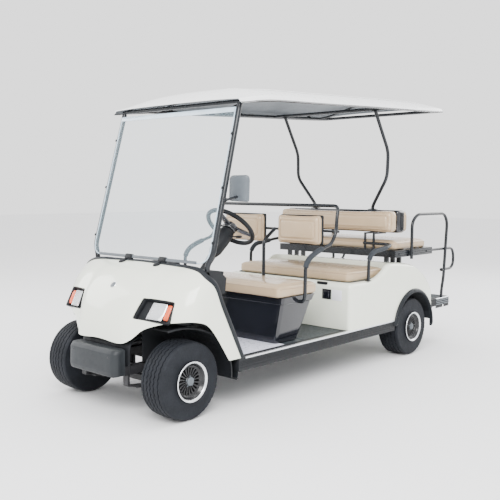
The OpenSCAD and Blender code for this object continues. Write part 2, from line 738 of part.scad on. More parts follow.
// Armrest tube from the seat base back to the backrest, then its run up to the rail
front_arm = [
    [hw - 80, fa + 1008, base_top - 40], [tube_x, fa + 1008, base_top - 36], [tube_x, fa + 1013, fz + 514],
    [tube_x, fa + 1056, fz + 564], [tube_x, fa + 1155, fz + 605], [tube_x, fa + 1304, fz + 643]
];
front_arm_top = [
    [tube_x, fa + 1357, fz + 720], [tube_x, fa + 1366, fz + 823], [tube_x - 8, rail_y, fz + 905]
];

module front_seat_frame() {
    half = concat(front_arm, front_arm_top);
    post_y = fa + front_seat_y + front_seat_d + 37;
    start_y = base_y[1] + (base_y[3] - base_y[1]) * (base_top - 50 - fz) / (base_top - fz);
    color("#1c1e20") {
        swept(eased(concat(half, [for (p = reversed(half)) flipped(p)]), 40), tube_r);
        swept([[-tube_x, rail_y - 3, fz + 725], [tube_x, rail_y - 3, fz + 725]], tube_r - 3);
        swept(eased([[0, start_y + 6, base_top - 50], [0, post_y, base_top - 48],
            [0, post_y, fz + 642], [0, rail_y - 3, fz + 726]], 40), tube_r);
    }
}

module front_backrests() {
    color("wheat") both_sides()
        pad(67, 67 + back_w, front_back_y, front_back_y + front_back_t, back_z0, back_z0 + back_h, 30);
}

middle_arm = [
    [tube_x + 4, ra - 626, deck_z + seat_gap], [tube_x + 4, ra - 622, fz + 507],
    [tube_x + 4, ra - 565, fz + 558], [tube_x + 4, ra - 425, fz + 573], [tube_x, ra - 310, fz + 590]
];

// Foam sleeve on a tube, bored past both its ends
module sleeve(path) {
    n = len(path);
    bore = concat([path[0] + unit(path[0] - path[1])], path, [path[n - 1] + unit(path[n - 1] - path[n - 2])]);
    difference() {
        swept(path, pad_r, 10);
        swept(bore, tube_r + 3 * seat_gap, 10);
    }
}

module armrest_pads() {
    front = eased(front_arm, 40);
    middle = eased(middle_arm, 40);
    color("#34373a") both_sides() {
        sleeve([for (p = front) if (p[2] > fz + 498 && p[1] < fa + 1300) p]);
        sleeve([for (p = middle) if (p[2] > fz + 498 && p[1] < ra - 320) p]);
    }
}

// ---- Rear body and benches ----

// Outline of the rear body's sides, as [distance behind the rear axle, height over the floor]
body_line = [
    [-880, -5], [-880, 330], [-865, 345], [-610, 345], [-520, 362], [-430, 400], [-370, 440], [-335, 455],
    [-150, 447], [60, 410], [200, 335], [290, 255], [332, 195], [345, 150], [345, 95]
];
arch_c = [30, axle_z - 4];
arch_r = 278;

function body_top(y) = fz + lookup(y - ra, [[-335, 455], [-150, 447], [60, 410], [200, 335]]);

module body_outline(inset) {
    first = body_line[0][0] + inset;
    last = body_line[len(body_line) - 1][0] - inset;
    across([for (p = body_line)
        [ra + min(max(p[0], first), last), fz + p[1] - (p[1] > 100 ? inset : inset * 2)]],
        inset - hw, hw - inset);
}

module rear_body() {
    centre = [ra + arch_c[0], arch_c[1]];
    tub_x = rear_track / 2 - tyre_w / 2 - 16;
    color("ivory") difference() {
        union() {
            difference() {
                body_outline(0);
                difference() {
                    body_outline(wall);
                    block(-hw, hw, body_front, well_rear + wall, deck_z - wall, fz + 600);
                }
            }
            both_sides() intersection() {
                translate([tub_x, centre[0], centre[1]]) rotate([0, 90, 0])
                    cylinder(r = arch_r + wall, h = hw - tub_x, $fn = 80);
                block(tub_x, hw, centre[0] - 400, centre[0] + 400, fz + 2, fz + 400);
                body_outline(0);
            }
        }
        block(-cushion_hw - 12, cushion_hw + 12, body_front - 1, well_rear, deck_z, fz + 600);
        both_sides() translate([tub_x + wall, centre[0], centre[1]]) rotate([0, 90, 0])
            cylinder(r = arch_r, h = 400, $fn = 80);
        block(-2 * hw, 2 * hw, ra - 1000, ra + 500, fz - 300, sill_top + seat_gap);
    }
}

module middle_seat_cushion() {
    color("wheat") pad(-cushion_hw, cushion_hw, middle_seat_y, middle_seat_y + middle_seat_d,
        deck_z + seat_gap, deck_z + seat_gap + cushion_t, 45);
}

module middle_armrests() {
    path = eased(concat(middle_arm,
        [[tube_x - 40, rear_frame_y0 - 22, fz + 596], [300, rear_frame_y0 - 14, fz + 596]]), 40);
    color("#1c1e20") both_sides() swept(path, tube_r);
}

module rear_seat_frame() {
    x = hw - 20;
    w = 40;
    z1 = rear_frame_z + rear_frame_h;
    color("#1f2123") {
        difference() {
            block(-x, x, rear_frame_y0, rear_frame_y1, rear_frame_z, z1);
            block(w - x, x - w, rear_frame_y0 + w, rear_frame_y1 - w, rear_frame_z - 1, z1 + 1);
        }
        for (y = [ra - 60, ra + 150]) block(w - x - 1, x - w + 1, y, y + w, rear_frame_z + 20, z1);
        both_sides() for (y = [-225, -130, -35])
            block(x - 110, x - 75, ra + y, ra + y + 22,
                body_top(ra + y) + 1, rear_frame_z + (y == -225 ? 1 : 25));
        both_sides() for (x_bar = [300, 380]) {
            block(x_bar - 8, x_bar + 8, rear_frame_y0, rear_frame_y0 + bar_t, z1 - 1, back_low - seat_gap);
            block(x_bar - 8, x_bar + 8, rear_frame_y0, shell_y1,
                back_low - seat_gap - bar_t, back_low - seat_gap);
        }
    }
}

module backrest_shell() {
    color("#1a1c1e") pad(40 - hw, hw - 40, shell_y0, shell_y1, back_low, back_high, 30);
}

module backrest_cushions() {
    color("wheat") {
        pad(40 - hw, hw - 40, shell_y0 - 105, shell_y0 - seat_gap, back_low, back_high, 34);
        pad(40 - hw, hw - 40, shell_y1 + seat_gap, shell_y1 + 60, back_low, back_high, 26);
    }
}

module rear_seat_cushion() {
    low = rear_frame_z + rear_frame_h + seat_gap;
    color("wheat") pad(40 - hw, hw - 40, rear_cushion_y0, rear_cushion_y1, low, low + rear_cushion_t, 45);
}

module rear_step() {
    z0 = step_top - step_h;
    t = 4;
    color("#2a2c2e") difference() {
        pad(-step_hw, step_hw, step_y0, step_y1, z0, step_top, 25);
        block(t - step_hw, step_hw - t, step_y0 - 5, step_y1 - t, z0 - 1, step_top - t);
        both_sides() translate([400, ra, axle_z]) rotate([0, 90, 0])
            cylinder(r = tyre_r + 160, h = 400, $fn = 64);
        block(-step_hw - 1, step_hw + 1, step_y0 - 1, ra + 450, z0 - 1, z0 + 20);
        both_sides() block(rail_foot[0] - foot_half, step_hw + 1,
            rail_foot[1] - foot_half, rail_foot[1] + foot_half, z0 - 1, step_top + 1);
    }
}

module handrails() {
    x = hw;
    r = tube_r;
    high = fz + 825;
    bar = eased([
        [x, ra - 20, rear_frame_z - 20], [x, ra - 20, high - 60], [x, ra + 60, high], [x, ra + 520, high],
        [x, rail_foot[1], high - 70], [x - 24, rail_foot[1], fz + 260],
        [rail_foot[0], rail_foot[1], step_top + 70], [rail_foot[0], rail_foot[1], step_top - step_h / 2]], 50);
    mid = rear_frame_z + 28;
    low = fz + 340;
    back = ra + rear_overhang - r;
    loop = eased([
        [x - 34, rear_frame_y1 + seat_gap, mid], [x - 34, rear_frame_y1 + 30, mid], [x - 24, back - 40, mid],
        [x - 24, back, mid - 50], [x - 24, back, low + 40], [x - 24, back - 50, low],
        [x - 24, ra + 545, low]], 40);
    color("#1c1e20") both_sides() {
        swept(bar, r);
        swept(loop, r - 1);
        block(hw - 20 + seat_gap, hw - 4, ra - 34, ra - 6, rear_frame_z + 12, rear_frame_z + 42);
    }
}

module wheel_flares() {
    centre = [ra + arch_c[0], arch_c[1]];
    t = 5;
    flap_y = centre[0] + arch_r - 20;
    color("#232527") both_sides() {
        across(concat(arc(centre, arch_r + 30, 8, 164, 24), arc(centre, arch_r + 1, 164, 8, 24)),
            hw + seat_gap, hw + 24);
        block(420, hw + 12, flap_y, flap_y + t, fz - 40, fz + 60);
    }
}

chassis_frame();
front_axle();
leaf_springs();
knuckle_left();
knuckle_right();
tie_rod();
rear_axle();
battery_pack();
tyre_front_left();
tyre_front_right();
tyre_rear_left();
tyre_rear_right();
rim_front_left();
rim_front_right();
rim_rear_left();
rim_rear_right();
floor_pan();
side_sills();
front_cowl();
cowl_trim();
front_bumper();
lamps();
wheel_tubs();
dashboard();
pedals();
steering_column();
steering_wheel();
windshield_frame();
windshield_glass();
side_mirror();
roof_panel();
roof_frame();
rear_roof_posts();
front_seat_base();
front_seat_cushion();
front_seat_frame();
front_backrests();
armrest_pads();
rear_body();
middle_seat_cushion();
middle_armrests();
rear_seat_frame();
backrest_shell();
backrest_cushions();
rear_seat_cushion();
rear_step();
handrails();
wheel_flares();
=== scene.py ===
"""Six-seat golf cart: the visual model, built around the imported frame.

Tables are in millimetres, from the front axle (or the rear axle where said) and the floor, like the
frame's source. Lengths handed to bmesh and mathutils are in metres.
"""
import math

import bmesh
import bpy
from mathutils import Matrix, Vector
from mathutils.bvhtree import BVHTree


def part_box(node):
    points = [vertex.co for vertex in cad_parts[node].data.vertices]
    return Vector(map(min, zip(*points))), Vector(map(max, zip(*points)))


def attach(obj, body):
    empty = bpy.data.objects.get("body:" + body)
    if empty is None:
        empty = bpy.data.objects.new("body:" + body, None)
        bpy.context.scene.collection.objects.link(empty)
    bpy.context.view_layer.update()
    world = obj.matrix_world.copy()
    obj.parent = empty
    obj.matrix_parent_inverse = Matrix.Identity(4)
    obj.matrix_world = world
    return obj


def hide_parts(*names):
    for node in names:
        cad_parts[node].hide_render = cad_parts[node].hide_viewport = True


MM = 0.001

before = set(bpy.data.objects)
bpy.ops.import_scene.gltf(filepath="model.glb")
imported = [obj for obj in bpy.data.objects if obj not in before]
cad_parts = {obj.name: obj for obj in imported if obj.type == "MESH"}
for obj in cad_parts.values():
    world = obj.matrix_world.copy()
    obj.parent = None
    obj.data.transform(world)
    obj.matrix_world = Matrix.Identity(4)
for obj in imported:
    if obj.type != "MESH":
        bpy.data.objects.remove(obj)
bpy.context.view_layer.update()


def middle(node):
    lo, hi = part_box(node)
    return (lo + hi) / 2


FA = middle("tyre_front_left").y
RA = middle("tyre_rear_left").y
AXLE_Z = middle("tyre_front_left").z
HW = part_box("side_sills")[1].x
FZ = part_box("side_sills")[1].z - 7 * MM


def front(x, y, z):
    """A point in millimetres: from the centre line, behind the front axle, over the floor."""
    return Vector((x * MM, FA + y * MM, FZ + z * MM))


def rear(x, y, z):
    """The same, behind the rear axle."""
    return Vector((x * MM, RA + y * MM, FZ + z * MM))


# ---- camera, floor and light ----

def make_camera():
    yaw, pitch, roll = math.radians(41.70), math.radians(3.436), math.radians(0.389)
    back = Vector((math.sin(yaw) * math.cos(pitch), -math.cos(yaw) * math.cos(pitch), math.sin(pitch)))
    right = Vector((math.cos(yaw), math.sin(yaw), 0))
    up = back.cross(right)
    side = right * math.cos(roll) + up * math.sin(roll)
    top = up * math.cos(roll) - right * math.sin(roll)
    data = bpy.data.cameras.new("camera")
    data.lens = 52.74
    data.sensor_width = 36
    data.shift_y = -0.0319
    camera = bpy.data.objects.new("camera", data)
    camera.matrix_world = Matrix((
        (side.x, top.x, back.x, 3.521), (side.y, top.y, back.y, -4.279), (side.z, top.z, back.z, 1.317),
        (0, 0, 0, 1)))
    bpy.context.collection.objects.link(camera)
    bpy.context.scene.camera = camera


def area_light(name, place, aim, size, power):
    data = bpy.data.lights.new(name, "AREA")
    data.shape = "RECTANGLE"
    data.size, data.size_y = size
    data.energy = power
    lamp = bpy.data.objects.new(name, data)
    lamp.location = place
    lamp.rotation_euler = (Vector(aim) - Vector(place)).to_track_quat("-Z", "Y").to_euler()
    bpy.context.collection.objects.link(lamp)


def make_studio():
    mesh = bpy.data.meshes.new("studio_floor")
    s = 30
    mesh.from_pydata([(-s, -s, 0), (s, -s, 0), (s, s, 0), (-s, s, 0)], [], [(0, 1, 2, 3)])
    mesh.update()
    floor = bpy.data.objects.new("studio_floor", mesh)
    bpy.context.collection.objects.link(floor)
    paint = bpy.data.materials.new("studio_floor")
    paint.use_nodes = True
    shader = paint.node_tree.nodes["Principled BSDF"]
    shader.inputs["Base Color"].default_value = (0.9, 0.9, 0.91, 1)
    shader.inputs["Roughness"].default_value = 0.8
    mesh.materials.append(paint)
    world = bpy.data.worlds.new("studio")
    bpy.context.scene.world = world
    world.use_nodes = True
    sky = world.node_tree.nodes["Background"]
    sky.inputs["Color"].default_value = (1, 1, 1, 1)
    sky.inputs["Strength"].default_value = 1.9
    area_light("key", (4.5, -5.5, 5.5), (0, -0.3, 0.7), (4, 4), 800)
    area_light("fill", (-5.5, -3.0, 3.5), (0, 0, 0.8), (4, 3), 170)
    area_light("top", (0.5, 0.8, 6.5), (0, 0, 0.5), (5, 5), 240)
    area_light("back", (1.5, 6.5, 3.5), (0, 0.6, 0.8), (4, 3), 170)


# ---- materials ----

def finish(name, colour, rough, metal=0.0, coat=0.0, patch=(6, 0.06), grain=(900, 0.0002), cells=None,
           ribs=None, wear=0.0, rough_spread=0.08, specular=0.5, glow=None, alpha=1.0):
    """A procedural material: drifting colour, varied roughness, and a bump from grain, cells or ribs."""
    mat = bpy.data.materials.new(name)
    mat.use_nodes = True
    tree = mat.node_tree
    link = tree.links.new
    shader = tree.nodes["Principled BSDF"]
    shader.inputs["Metallic"].default_value = metal
    shader.inputs["Coat Weight"].default_value = coat
    shader.inputs["Coat Roughness"].default_value = 0.04
    shader.inputs["Specular IOR Level"].default_value = specular
    shader.inputs["IOR"].default_value = 1.45
    shader.inputs["Alpha"].default_value = alpha
    if glow:
        shader.inputs["Emission Color"].default_value = (*glow[:3], 1)
        shader.inputs["Emission Strength"].default_value = glow[3]
    where = tree.nodes.new("ShaderNodeTexCoord")

    def noise(scale, detail=3):
        node = tree.nodes.new("ShaderNodeTexNoise")
        node.inputs["Scale"].default_value = scale
        node.inputs["Detail"].default_value = detail
        link(where.outputs["Object"], node.inputs["Vector"])
        return node.outputs["Fac"]

    def spread(source, low, high):
        node = tree.nodes.new("ShaderNodeMapRange")
        node.inputs["From Min"].default_value = 0.3
        node.inputs["From Max"].default_value = 0.7
        node.inputs["To Min"].default_value = low
        node.inputs["To Max"].default_value = high
        link(source, node.inputs["Value"])
        return node.outputs["Result"]

    def mixed(share, a, b):
        node = tree.nodes.new("ShaderNodeMix")
        node.data_type = "RGBA"
        for socket, value in ((node.inputs[6], a), (node.inputs[7], b)):
            if isinstance(value, tuple):
                socket.default_value = (*value, 1)
            else:
                link(value, socket)
        link(share, node.inputs["Factor"])
        return node.outputs[2]

    scale, amount = patch
    light = tuple(min(1, c * (1 + amount)) for c in colour)
    dark = tuple(c * (1 - amount) for c in colour)
    shade = mixed(spread(noise(scale), 0, 1), dark, light)
    if wear:
        edge = tree.nodes.new("ShaderNodeNewGeometry")
        ramp = tree.nodes.new("ShaderNodeMapRange")
        ramp.inputs["From Min"].default_value = 0.52
        ramp.inputs["From Max"].default_value = 0.62
        ramp.inputs["To Max"].default_value = wear
        link(edge.outputs["Pointiness"], ramp.inputs["Value"])
        shade = mixed(ramp.outputs["Result"], shade, tuple(min(1, c * 1.8 + 0.08) for c in colour))
    link(shade, shader.inputs["Base Color"])
    link(spread(noise(scale * 7), max(0.02, rough - rough_spread), rough + rough_spread),
         shader.inputs["Roughness"])
    height, depth = noise(grain[0], 2), grain[1]
    if cells:
        node = tree.nodes.new("ShaderNodeTexVoronoi")
        node.inputs["Scale"].default_value = cells[0]
        link(where.outputs["Object"], node.inputs["Vector"])
        height, depth = node.outputs["Distance"], cells[1]
    if ribs:
        node = tree.nodes.new("ShaderNodeTexWave")
        node.bands_direction = ribs[0]
        node.inputs["Scale"].default_value = ribs[1]
        link(where.outputs["Object"], node.inputs["Vector"])
        height, depth = node.outputs["Fac"], ribs[2]
    bump = tree.nodes.new("ShaderNodeBump")
    bump.inputs["Distance"].default_value = depth
    bump.inputs["Strength"].default_value = 0.6
    link(height, bump.inputs["Height"])
    link(bump.outputs["Normal"], shader.inputs["Normal"])
    return mat


M = {
    "cream": finish("cream_paint", (0.84, 0.875, 0.755), 0.2, coat=0.8, patch=(2.5, 0.02),
                    grain=(700, 0.00004), rough_spread=0.04),
    "white": finish("white_roof_skin", (0.86, 0.87, 0.88), 0.3, coat=0.4, patch=(3, 0.02),
                    grain=(500, 0.00008), rough_spread=0.05),
    "lining": finish("roof_lining", (0.16, 0.18, 0.2), 0.6, patch=(8, 0.08), ribs=("X", 26, 0.0015)),
    "plastic": finish("moulded_black", (0.009, 0.01, 0.012), 0.48, patch=(9, 0.2), cells=(700, 0.0002),
                      wear=0.08, specular=0.22),
    "bumper": finish("bumper_grey", (0.022, 0.025, 0.028), 0.42, patch=(5, 0.1), cells=(520, 0.00025),
                     wear=0.08, specular=0.25),
    "trim": finish("trim_rubber", (0.011, 0.013, 0.016), 0.42, patch=(14, 0.15), grain=(600, 0.0003),
                   wear=0.05, specular=0.22),
    "gloss": finish("gloss_black", (0.008, 0.009, 0.013), 0.12, coat=0.6, patch=(4, 0.25),
                    grain=(300, 0.00006), rough_spread=0.04),
    "tube": finish("tube_paint", (0.008, 0.01, 0.013), 0.26, coat=0.2, patch=(12, 0.2), grain=(800, 0.0001),
                   wear=0.06, specular=0.35),
    "steel": finish("chassis_paint", (0.014, 0.014, 0.016), 0.5, patch=(10, 0.3), grain=(250, 0.0006),
                    wear=0.15, specular=0.3),
    "bare": finish("bare_steel", (0.45, 0.45, 0.46), 0.35, metal=0.9, patch=(30, 0.15), grain=(900, 0.0002),
                   wear=0.3),
    "silver": finish("silver_strip", (0.78, 0.8, 0.83), 0.28, metal=0.9, patch=(20, 0.06),
                     grain=(1200, 0.0001)),
    "chrome": finish("chrome", (0.85, 0.86, 0.88), 0.07, metal=1.0, patch=(10, 0.02), grain=(400, 0.00002),
                     rough_spread=0.03),
    "tyre": finish("tyre_rubber", (0.011, 0.0125, 0.016), 0.66, patch=(16, 0.2), grain=(420, 0.0005),
                   rough_spread=0.1, specular=0.2),
    "rim": finish("rim_gloss", (0.006, 0.0065, 0.008), 0.3, coat=0.3, patch=(15, 0.2), grain=(500, 0.0001),
                  wear=0.06, specular=0.4),
    "foam": finish("grip_foam", (0.03, 0.035, 0.042), 0.62, patch=(30, 0.16), cells=(420, 0.0005),
                   specular=0.22),
    "vinyl": finish("beige_vinyl", (0.50, 0.37, 0.235), 0.22, coat=0.35, patch=(5, 0.045),
                    cells=(650, 0.00022), rough_spread=0.06),
    "welt": finish("beige_welt", (0.45, 0.32, 0.2), 0.32, coat=0.2, patch=(20, 0.08), cells=(900, 0.00015)),
    "mat_dark": finish("floor_rubber", (0.035, 0.043, 0.049), 0.42, patch=(7, 0.15), ribs=("X", 55, 0.0012)),
    # painted reflection: the front mat's pale lilac stands for the white surroundings mirrored in a dark
    # rubber mat
    "mat_painted_reflection": finish("front_mat_painted_reflection", (0.70, 0.71, 0.82), 0.3, patch=(5, 0.05), ribs=("X", 40, 0.0006)),
    "glass": finish("windshield_acrylic", (0.6, 0.78, 0.88), 0.03, patch=(3, 0.02), grain=(60, 0.00001),
                    rough_spread=0.01, specular=0.2, alpha=0.07),
    "edge": finish("acrylic_edge", (0.5, 0.62, 0.72), 0.2, patch=(12, 0.08), grain=(500, 0.00005), coat=0.4),
    "grey": finish("grey_plastic", (0.09, 0.105, 0.12), 0.4, patch=(9, 0.1), cells=(600, 0.0002), wear=0.2),
    "lens": finish("lamp_lens", (0.9, 0.93, 0.96), 0.06, patch=(20, 0.02), ribs=("X", 160, 0.0012),
                   rough_spread=0.03, alpha=0.3),
    "amber": finish("amber_lens", (0.85, 0.1, 0.012), 0.16, coat=0.6, patch=(40, 0.12),
                    ribs=("Z", 120, 0.0008), glow=(0.9, 0.15, 0.02, 0.04)),
    "red": finish("red_lens", (0.6, 0.02, 0.02), 0.16, coat=0.6, patch=(40, 0.12), cells=(260, 0.0008)),
    "mirror": finish("mirror_face", (0.9, 0.91, 0.93), 0.03, metal=1.0, patch=(10, 0.01),
                     grain=(300, 0.00001), rough_spread=0.01),
    "label": finish("label_plate", (0.8, 0.79, 0.86), 0.4, patch=(20, 0.04), grain=(500, 0.0001)),
    "battery": finish("battery_case", (0.05, 0.052, 0.058), 0.5, patch=(14, 0.2), ribs=("Y", 30, 0.002)),
}


# ---- mesh helpers ----

def mark_sharp(bm, angle):
    """Smooth faces, with the edges that turn by more than an angle in degrees kept sharp."""
    for face in bm.faces:
        face.smooth = True
    for edge in bm.edges:
        edge.smooth = not (len(edge.link_faces) == 2 and edge.calc_face_angle(0) > math.radians(angle))


def piece(name, bm, mat, body="chassis", sharp=38, stands_for=(), ride=True):
    """Turns a bmesh into a shown object with its material, body and the nodes it stands for."""
    bmesh.ops.recalc_face_normals(bm, faces=bm.faces)
    mark_sharp(bm, sharp)
    mesh = bpy.data.meshes.new(name)
    bm.to_mesh(mesh)
    bm.free()
    mesh.materials.append(mat)
    obj = bpy.data.objects.new(name, mesh)
    bpy.context.collection.objects.link(obj)
    if ride:
        settle(obj, body, stands_for)
    return obj


def settle(obj, body, stands_for=()):
    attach(obj, body)
    if stands_for:
        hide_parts(*stands_for)


def apply_all(obj):
    """Applies an object's modifiers to its mesh."""
    bpy.context.view_layer.update()
    done = bpy.data.meshes.new_from_object(obj.evaluated_get(bpy.context.evaluated_depsgraph_get()))
    old = obj.data
    obj.modifiers.clear()
    obj.data = done
    bpy.data.meshes.remove(old)


def resharpen(obj, sharp=35):
    bm = bmesh.new()
    bm.from_mesh(obj.data)
    bmesh.ops.remove_doubles(bm, verts=bm.verts, dist=1e-6)
    bmesh.ops.dissolve_degenerate(bm, dist=1e-6, edges=bm.edges)
    mark_sharp(bm, sharp)
    bm.to_mesh(obj.data)
    bm.free()


def cut(obj, *cutters, mode="DIFFERENCE"):
    for cutter in cutters:
        mod = obj.modifiers.new("cut", "BOOLEAN")
        mod.operation = mode
        mod.solver = "EXACT"
        mod.object = cutter
    apply_all(obj)
    for cutter in cutters:
        bpy.data.objects.remove(cutter)


def loft(bm, loops, closed=True, caps=True):
    """Skin between loops of the same number of points."""
    rings = [[bm.verts.new(p) for p in loop] for loop in loops]
    n = len(rings[0])
    for a, b in zip(rings, rings[1:]):
        for i in range(n if closed else n - 1):
            j = (i + 1) % n
            bm.faces.new((a[i], a[j], b[j], b[i]))
    if caps and closed:
        bm.faces.new(rings[0])
        bm.faces.new(rings[-1][::-1])
    return rings


def eased(points, ease, n=8):
    """A polyline whose inner corners are eased over a length in millimetres, as in the frame's source."""
    path = [points[0]]
    for before, b, after in zip(points, points[1:], points[2:]):
        u, w = before - b, after - b
        p = b + u.normalized() * min(ease * MM, u.length * 0.49)
        q = b + w.normalized() * min(ease * MM, w.length * 0.49)
        for k in range(n + 1):
            t = k / n
            path.append((1 - t) ** 2 * p + 2 * t * (1 - t) * b + t * t * q)
    return path + [points[-1]]


def tube(bm, path, r, sides=20, closed=False, round_ends=0.0):
    """A round tube along a path, r in millimetres; round_ends domes its ends by that share of r."""
    r *= MM
    n = len(path)
    dirs = []
    for i in range(n):
        a = path[(i - 1) % n] if closed or i else path[0]
        b = path[(i + 1) % n] if closed or i < n - 1 else path[-1]
        dirs.append((b - a).normalized())
    side = Vector((0, 0, 1)) if abs(dirs[0].z) < 0.9 else Vector((0, 1, 0))
    normal = dirs[0].cross(side).normalized()
    rings = []

    def ring(centre, radius, normal, other):
        return [centre + radius * (math.cos(2 * math.pi * k / sides) * normal
                                   + math.sin(2 * math.pi * k / sides) * other) for k in range(sides)]

    for i in range(n):
        normal = (normal - normal.dot(dirs[i]) * dirs[i]).normalized()
        other = dirs[i].cross(normal)
        if i == 0 and round_ends:
            for share in (0.4, 0.8):
                rings.append(ring(path[0] - dirs[0] * r * round_ends * (1 - share), r * math.sqrt(share),
                                  normal, other))
        rings.append(ring(path[i], r, normal, other))
        if i == n - 1 and round_ends:
            for share in (0.8, 0.4):
                rings.append(ring(path[-1] + dirs[-1] * r * round_ends * (1 - share), r * math.sqrt(share),
                                  normal, other))
    if closed:
        made = loft(bm, rings, caps=False)
        for i in range(sides):
            j = (i + 1) % sides
            bm.faces.new((made[-1][i], made[-1][j], made[0][j], made[0][i]))
    else:
        loft(bm, rings)


def mirrored(path):
    return [Vector((-p.x, p.y, p.z)) for p in path]


def rounded(corners, r, n=5):
    """A closed outline in two numbers whose corners are rounded; r is one radius or one for each corner."""
    out = []
    m = len(corners)
    for i in range(m):
        b = Vector(corners[i])
        u = (Vector(corners[i - 1]) - b)
        w = (Vector(corners[(i + 1) % m]) - b)
        rad = r[i] if isinstance(r, (list, tuple)) else r
        if rad <= 0:
            out.append(b)
            continue
        half = u.angle(w) / 2
        reach = min(rad / math.tan(half), u.length * 0.49, w.length * 0.49)
        p, q = b + u.normalized() * reach, b + w.normalized() * reach
        for k in range(n + 1):
            t = k / n
            out.append((1 - t) ** 2 * p + 2 * t * (1 - t) * b + t * t * q)
    return out


def oblong(x0, x1, y0, y1, r, n=5):
    """A rectangle with rounded corners, from the lower left one on."""
    return rounded([(x0, y0), (x1, y0), (x1, y1), (x0, y1)], r, n)


def soft_box(bm, lo, hi, r, segments=3):
    """A block between any two opposite corners, its edges rounded by r in millimetres."""
    made = bmesh.ops.create_cube(bm, size=1)
    lo, hi = Vector(map(min, lo, hi)), Vector(map(max, lo, hi))
    for v in made["verts"]:
        v.co = Vector([lo[k] + (v.co[k] + 0.5) * (hi[k] - lo[k]) for k in range(3)])
    edges = list(dict.fromkeys(e for v in made["verts"] for e in v.link_edges))
    bmesh.ops.bevel(bm, geom=edges, offset=r * MM, segments=segments, profile=0.5, affect="EDGES",
                    clamp_overlap=True)


def prism(bm, outline, place, low, high, edge=0.0):
    """An outline carried from low to high by place(u, v, w), with its end edges rounded off."""
    centre = sum((Vector(p) for p in outline), Vector((0, 0))) / len(outline)
    levels = [(low, 0)] if not edge else [(low, edge), (low + edge * 0.3, edge * 0.3), (low + edge, 0)]
    levels += [(high, 0)] if not edge else [(high - edge, 0), (high - edge * 0.3, edge * 0.3), (high, edge)]
    loops = []
    for w, inset in levels:
        loop = []
        for p in outline:
            d = Vector(p) - centre
            q = Vector(p) - d.normalized() * inset
            loop.append(place(q.x, q.y, w))
        loops.append(loop)
    loft(bm, loops)


def lathe(bm, profile, centre, axis, n):
    """Turns (radius, height) pairs in millimetres round an axis through centre."""
    axis = Vector(axis).normalized()
    side = Vector((0, 0, 1)) if abs(axis.z) < 0.9 else Vector((0, 1, 0))
    u = (side - side.dot(axis) * axis).normalized()
    v = axis.cross(u)
    loops = []
    for k in range(n):
        a = 2 * math.pi * k / n
        d = math.cos(a) * u + math.sin(a) * v
        loops.append([Vector(centre) + r * MM * d + h * MM * axis for r, h in profile])
    rings = [[bm.verts.new(p) for p in loop] for loop in loops]
    m = len(profile)
    for k in range(n):
        a, b = rings[k], rings[(k + 1) % n]
        for i in range(m - 1):
            bm.faces.new((a[i], b[i], b[i + 1], a[i + 1]))


def along(values, u):
    """Catmull-Rom through a list of vectors."""
    n = len(values) - 1
    i = min(int(u), n - 1)
    t = u - i
    a, b, c, d = values[max(i - 1, 0)], values[i], values[i + 1], values[min(i + 2, n)]
    return 0.5 * (2 * b + (c - a) * t + (2 * a - 5 * b + 4 * c - d) * t * t
                  + (3 * b - a - 3 * c + d) * t ** 3)


def bolt(bm, centre, axis, r=8, high=5):
    """A domed bolt head on a washer, in millimetres."""
    lathe(bm, [(r * 1.5, 0), (r * 1.5, high * 0.25), (r, high * 0.3), (r * 0.95, high * 0.75),
               (r * 0.6, high), (0.1, high * 1.05)],
          centre, axis, n=16)


make_camera()
make_studio()

# ---- front cowl, its trim and lamps ----

# Stations across one half, each with its rear edge, two shaping points and lower edge,
# as (short of the side, behind the axle, over the floor)
COWL_HALF = (
    ((600, 100, 566), (600, -60, 525), (600, -220, 415), (600, -235, 135)),
    ((415, 100, 563), (410, -58, 521), (405, -212, 400), (415, -230, 125)),
    ((300, 100, 560), (300, -45, 510), (330, -180, 395), (350, -200, 150)),
    ((200, 100, 557), (195, -20, 505), (220, -150, 415), (270, -165, 215)),
    ((100, 100, 544), (95, 20, 490), (110, -80, 435), (150, -120, 255)),
    ((35, 98, 510), (25, 50, 465), (20, -10, 395), (40, -50, 270)),
    ((4, 145, 455), (-2, 100, 415), (-2, 50, 345), (12, 20, 262)),
    ((0, 198, 339), (-3, 165, 315), (-2, 120, 275), (10, 90, 235)),
    ((0, 258, 224), (-2, 230, 210), (0, 190, 185), (8, 160, 160)),
    ((0, 370, 7.3), (-1, 335, 7.3), (0, 300, 7.3), (3, 264, 7.3)),
)


def cowl_place(p, side):
    return Vector((side * (HW - p[0] * MM), FA + p[1] * MM, FZ + p[2] * MM))


COWL = [[cowl_place(p, -1) for p in row] for row in COWL_HALF[:0:-1]]
COWL += [[cowl_place(p, 1) for p in row] for row in COWL_HALF]
COWL_N = len(COWL) - 1


def cowl_point(u, t):
    a, b, c, d = (along([row[k] for row in COWL], u) for k in range(4))
    return (1 - t) ** 3 * a + 3 * (1 - t) ** 2 * t * b + 3 * (1 - t) * t * t * c + t ** 3 * d


def cowl_normal(u, t):
    du = cowl_point(min(u + 0.02, COWL_N), t) - cowl_point(max(u - 0.02, 0), t)
    dt = cowl_point(u, min(t + 0.01, 1)) - cowl_point(u, max(t - 0.01, 0))
    n = dt.cross(du).normalized()
    return n if n.dot(cowl_point(u, t) - Vector((0, FA + 0.15, FZ + 0.2))) > 0 else -n


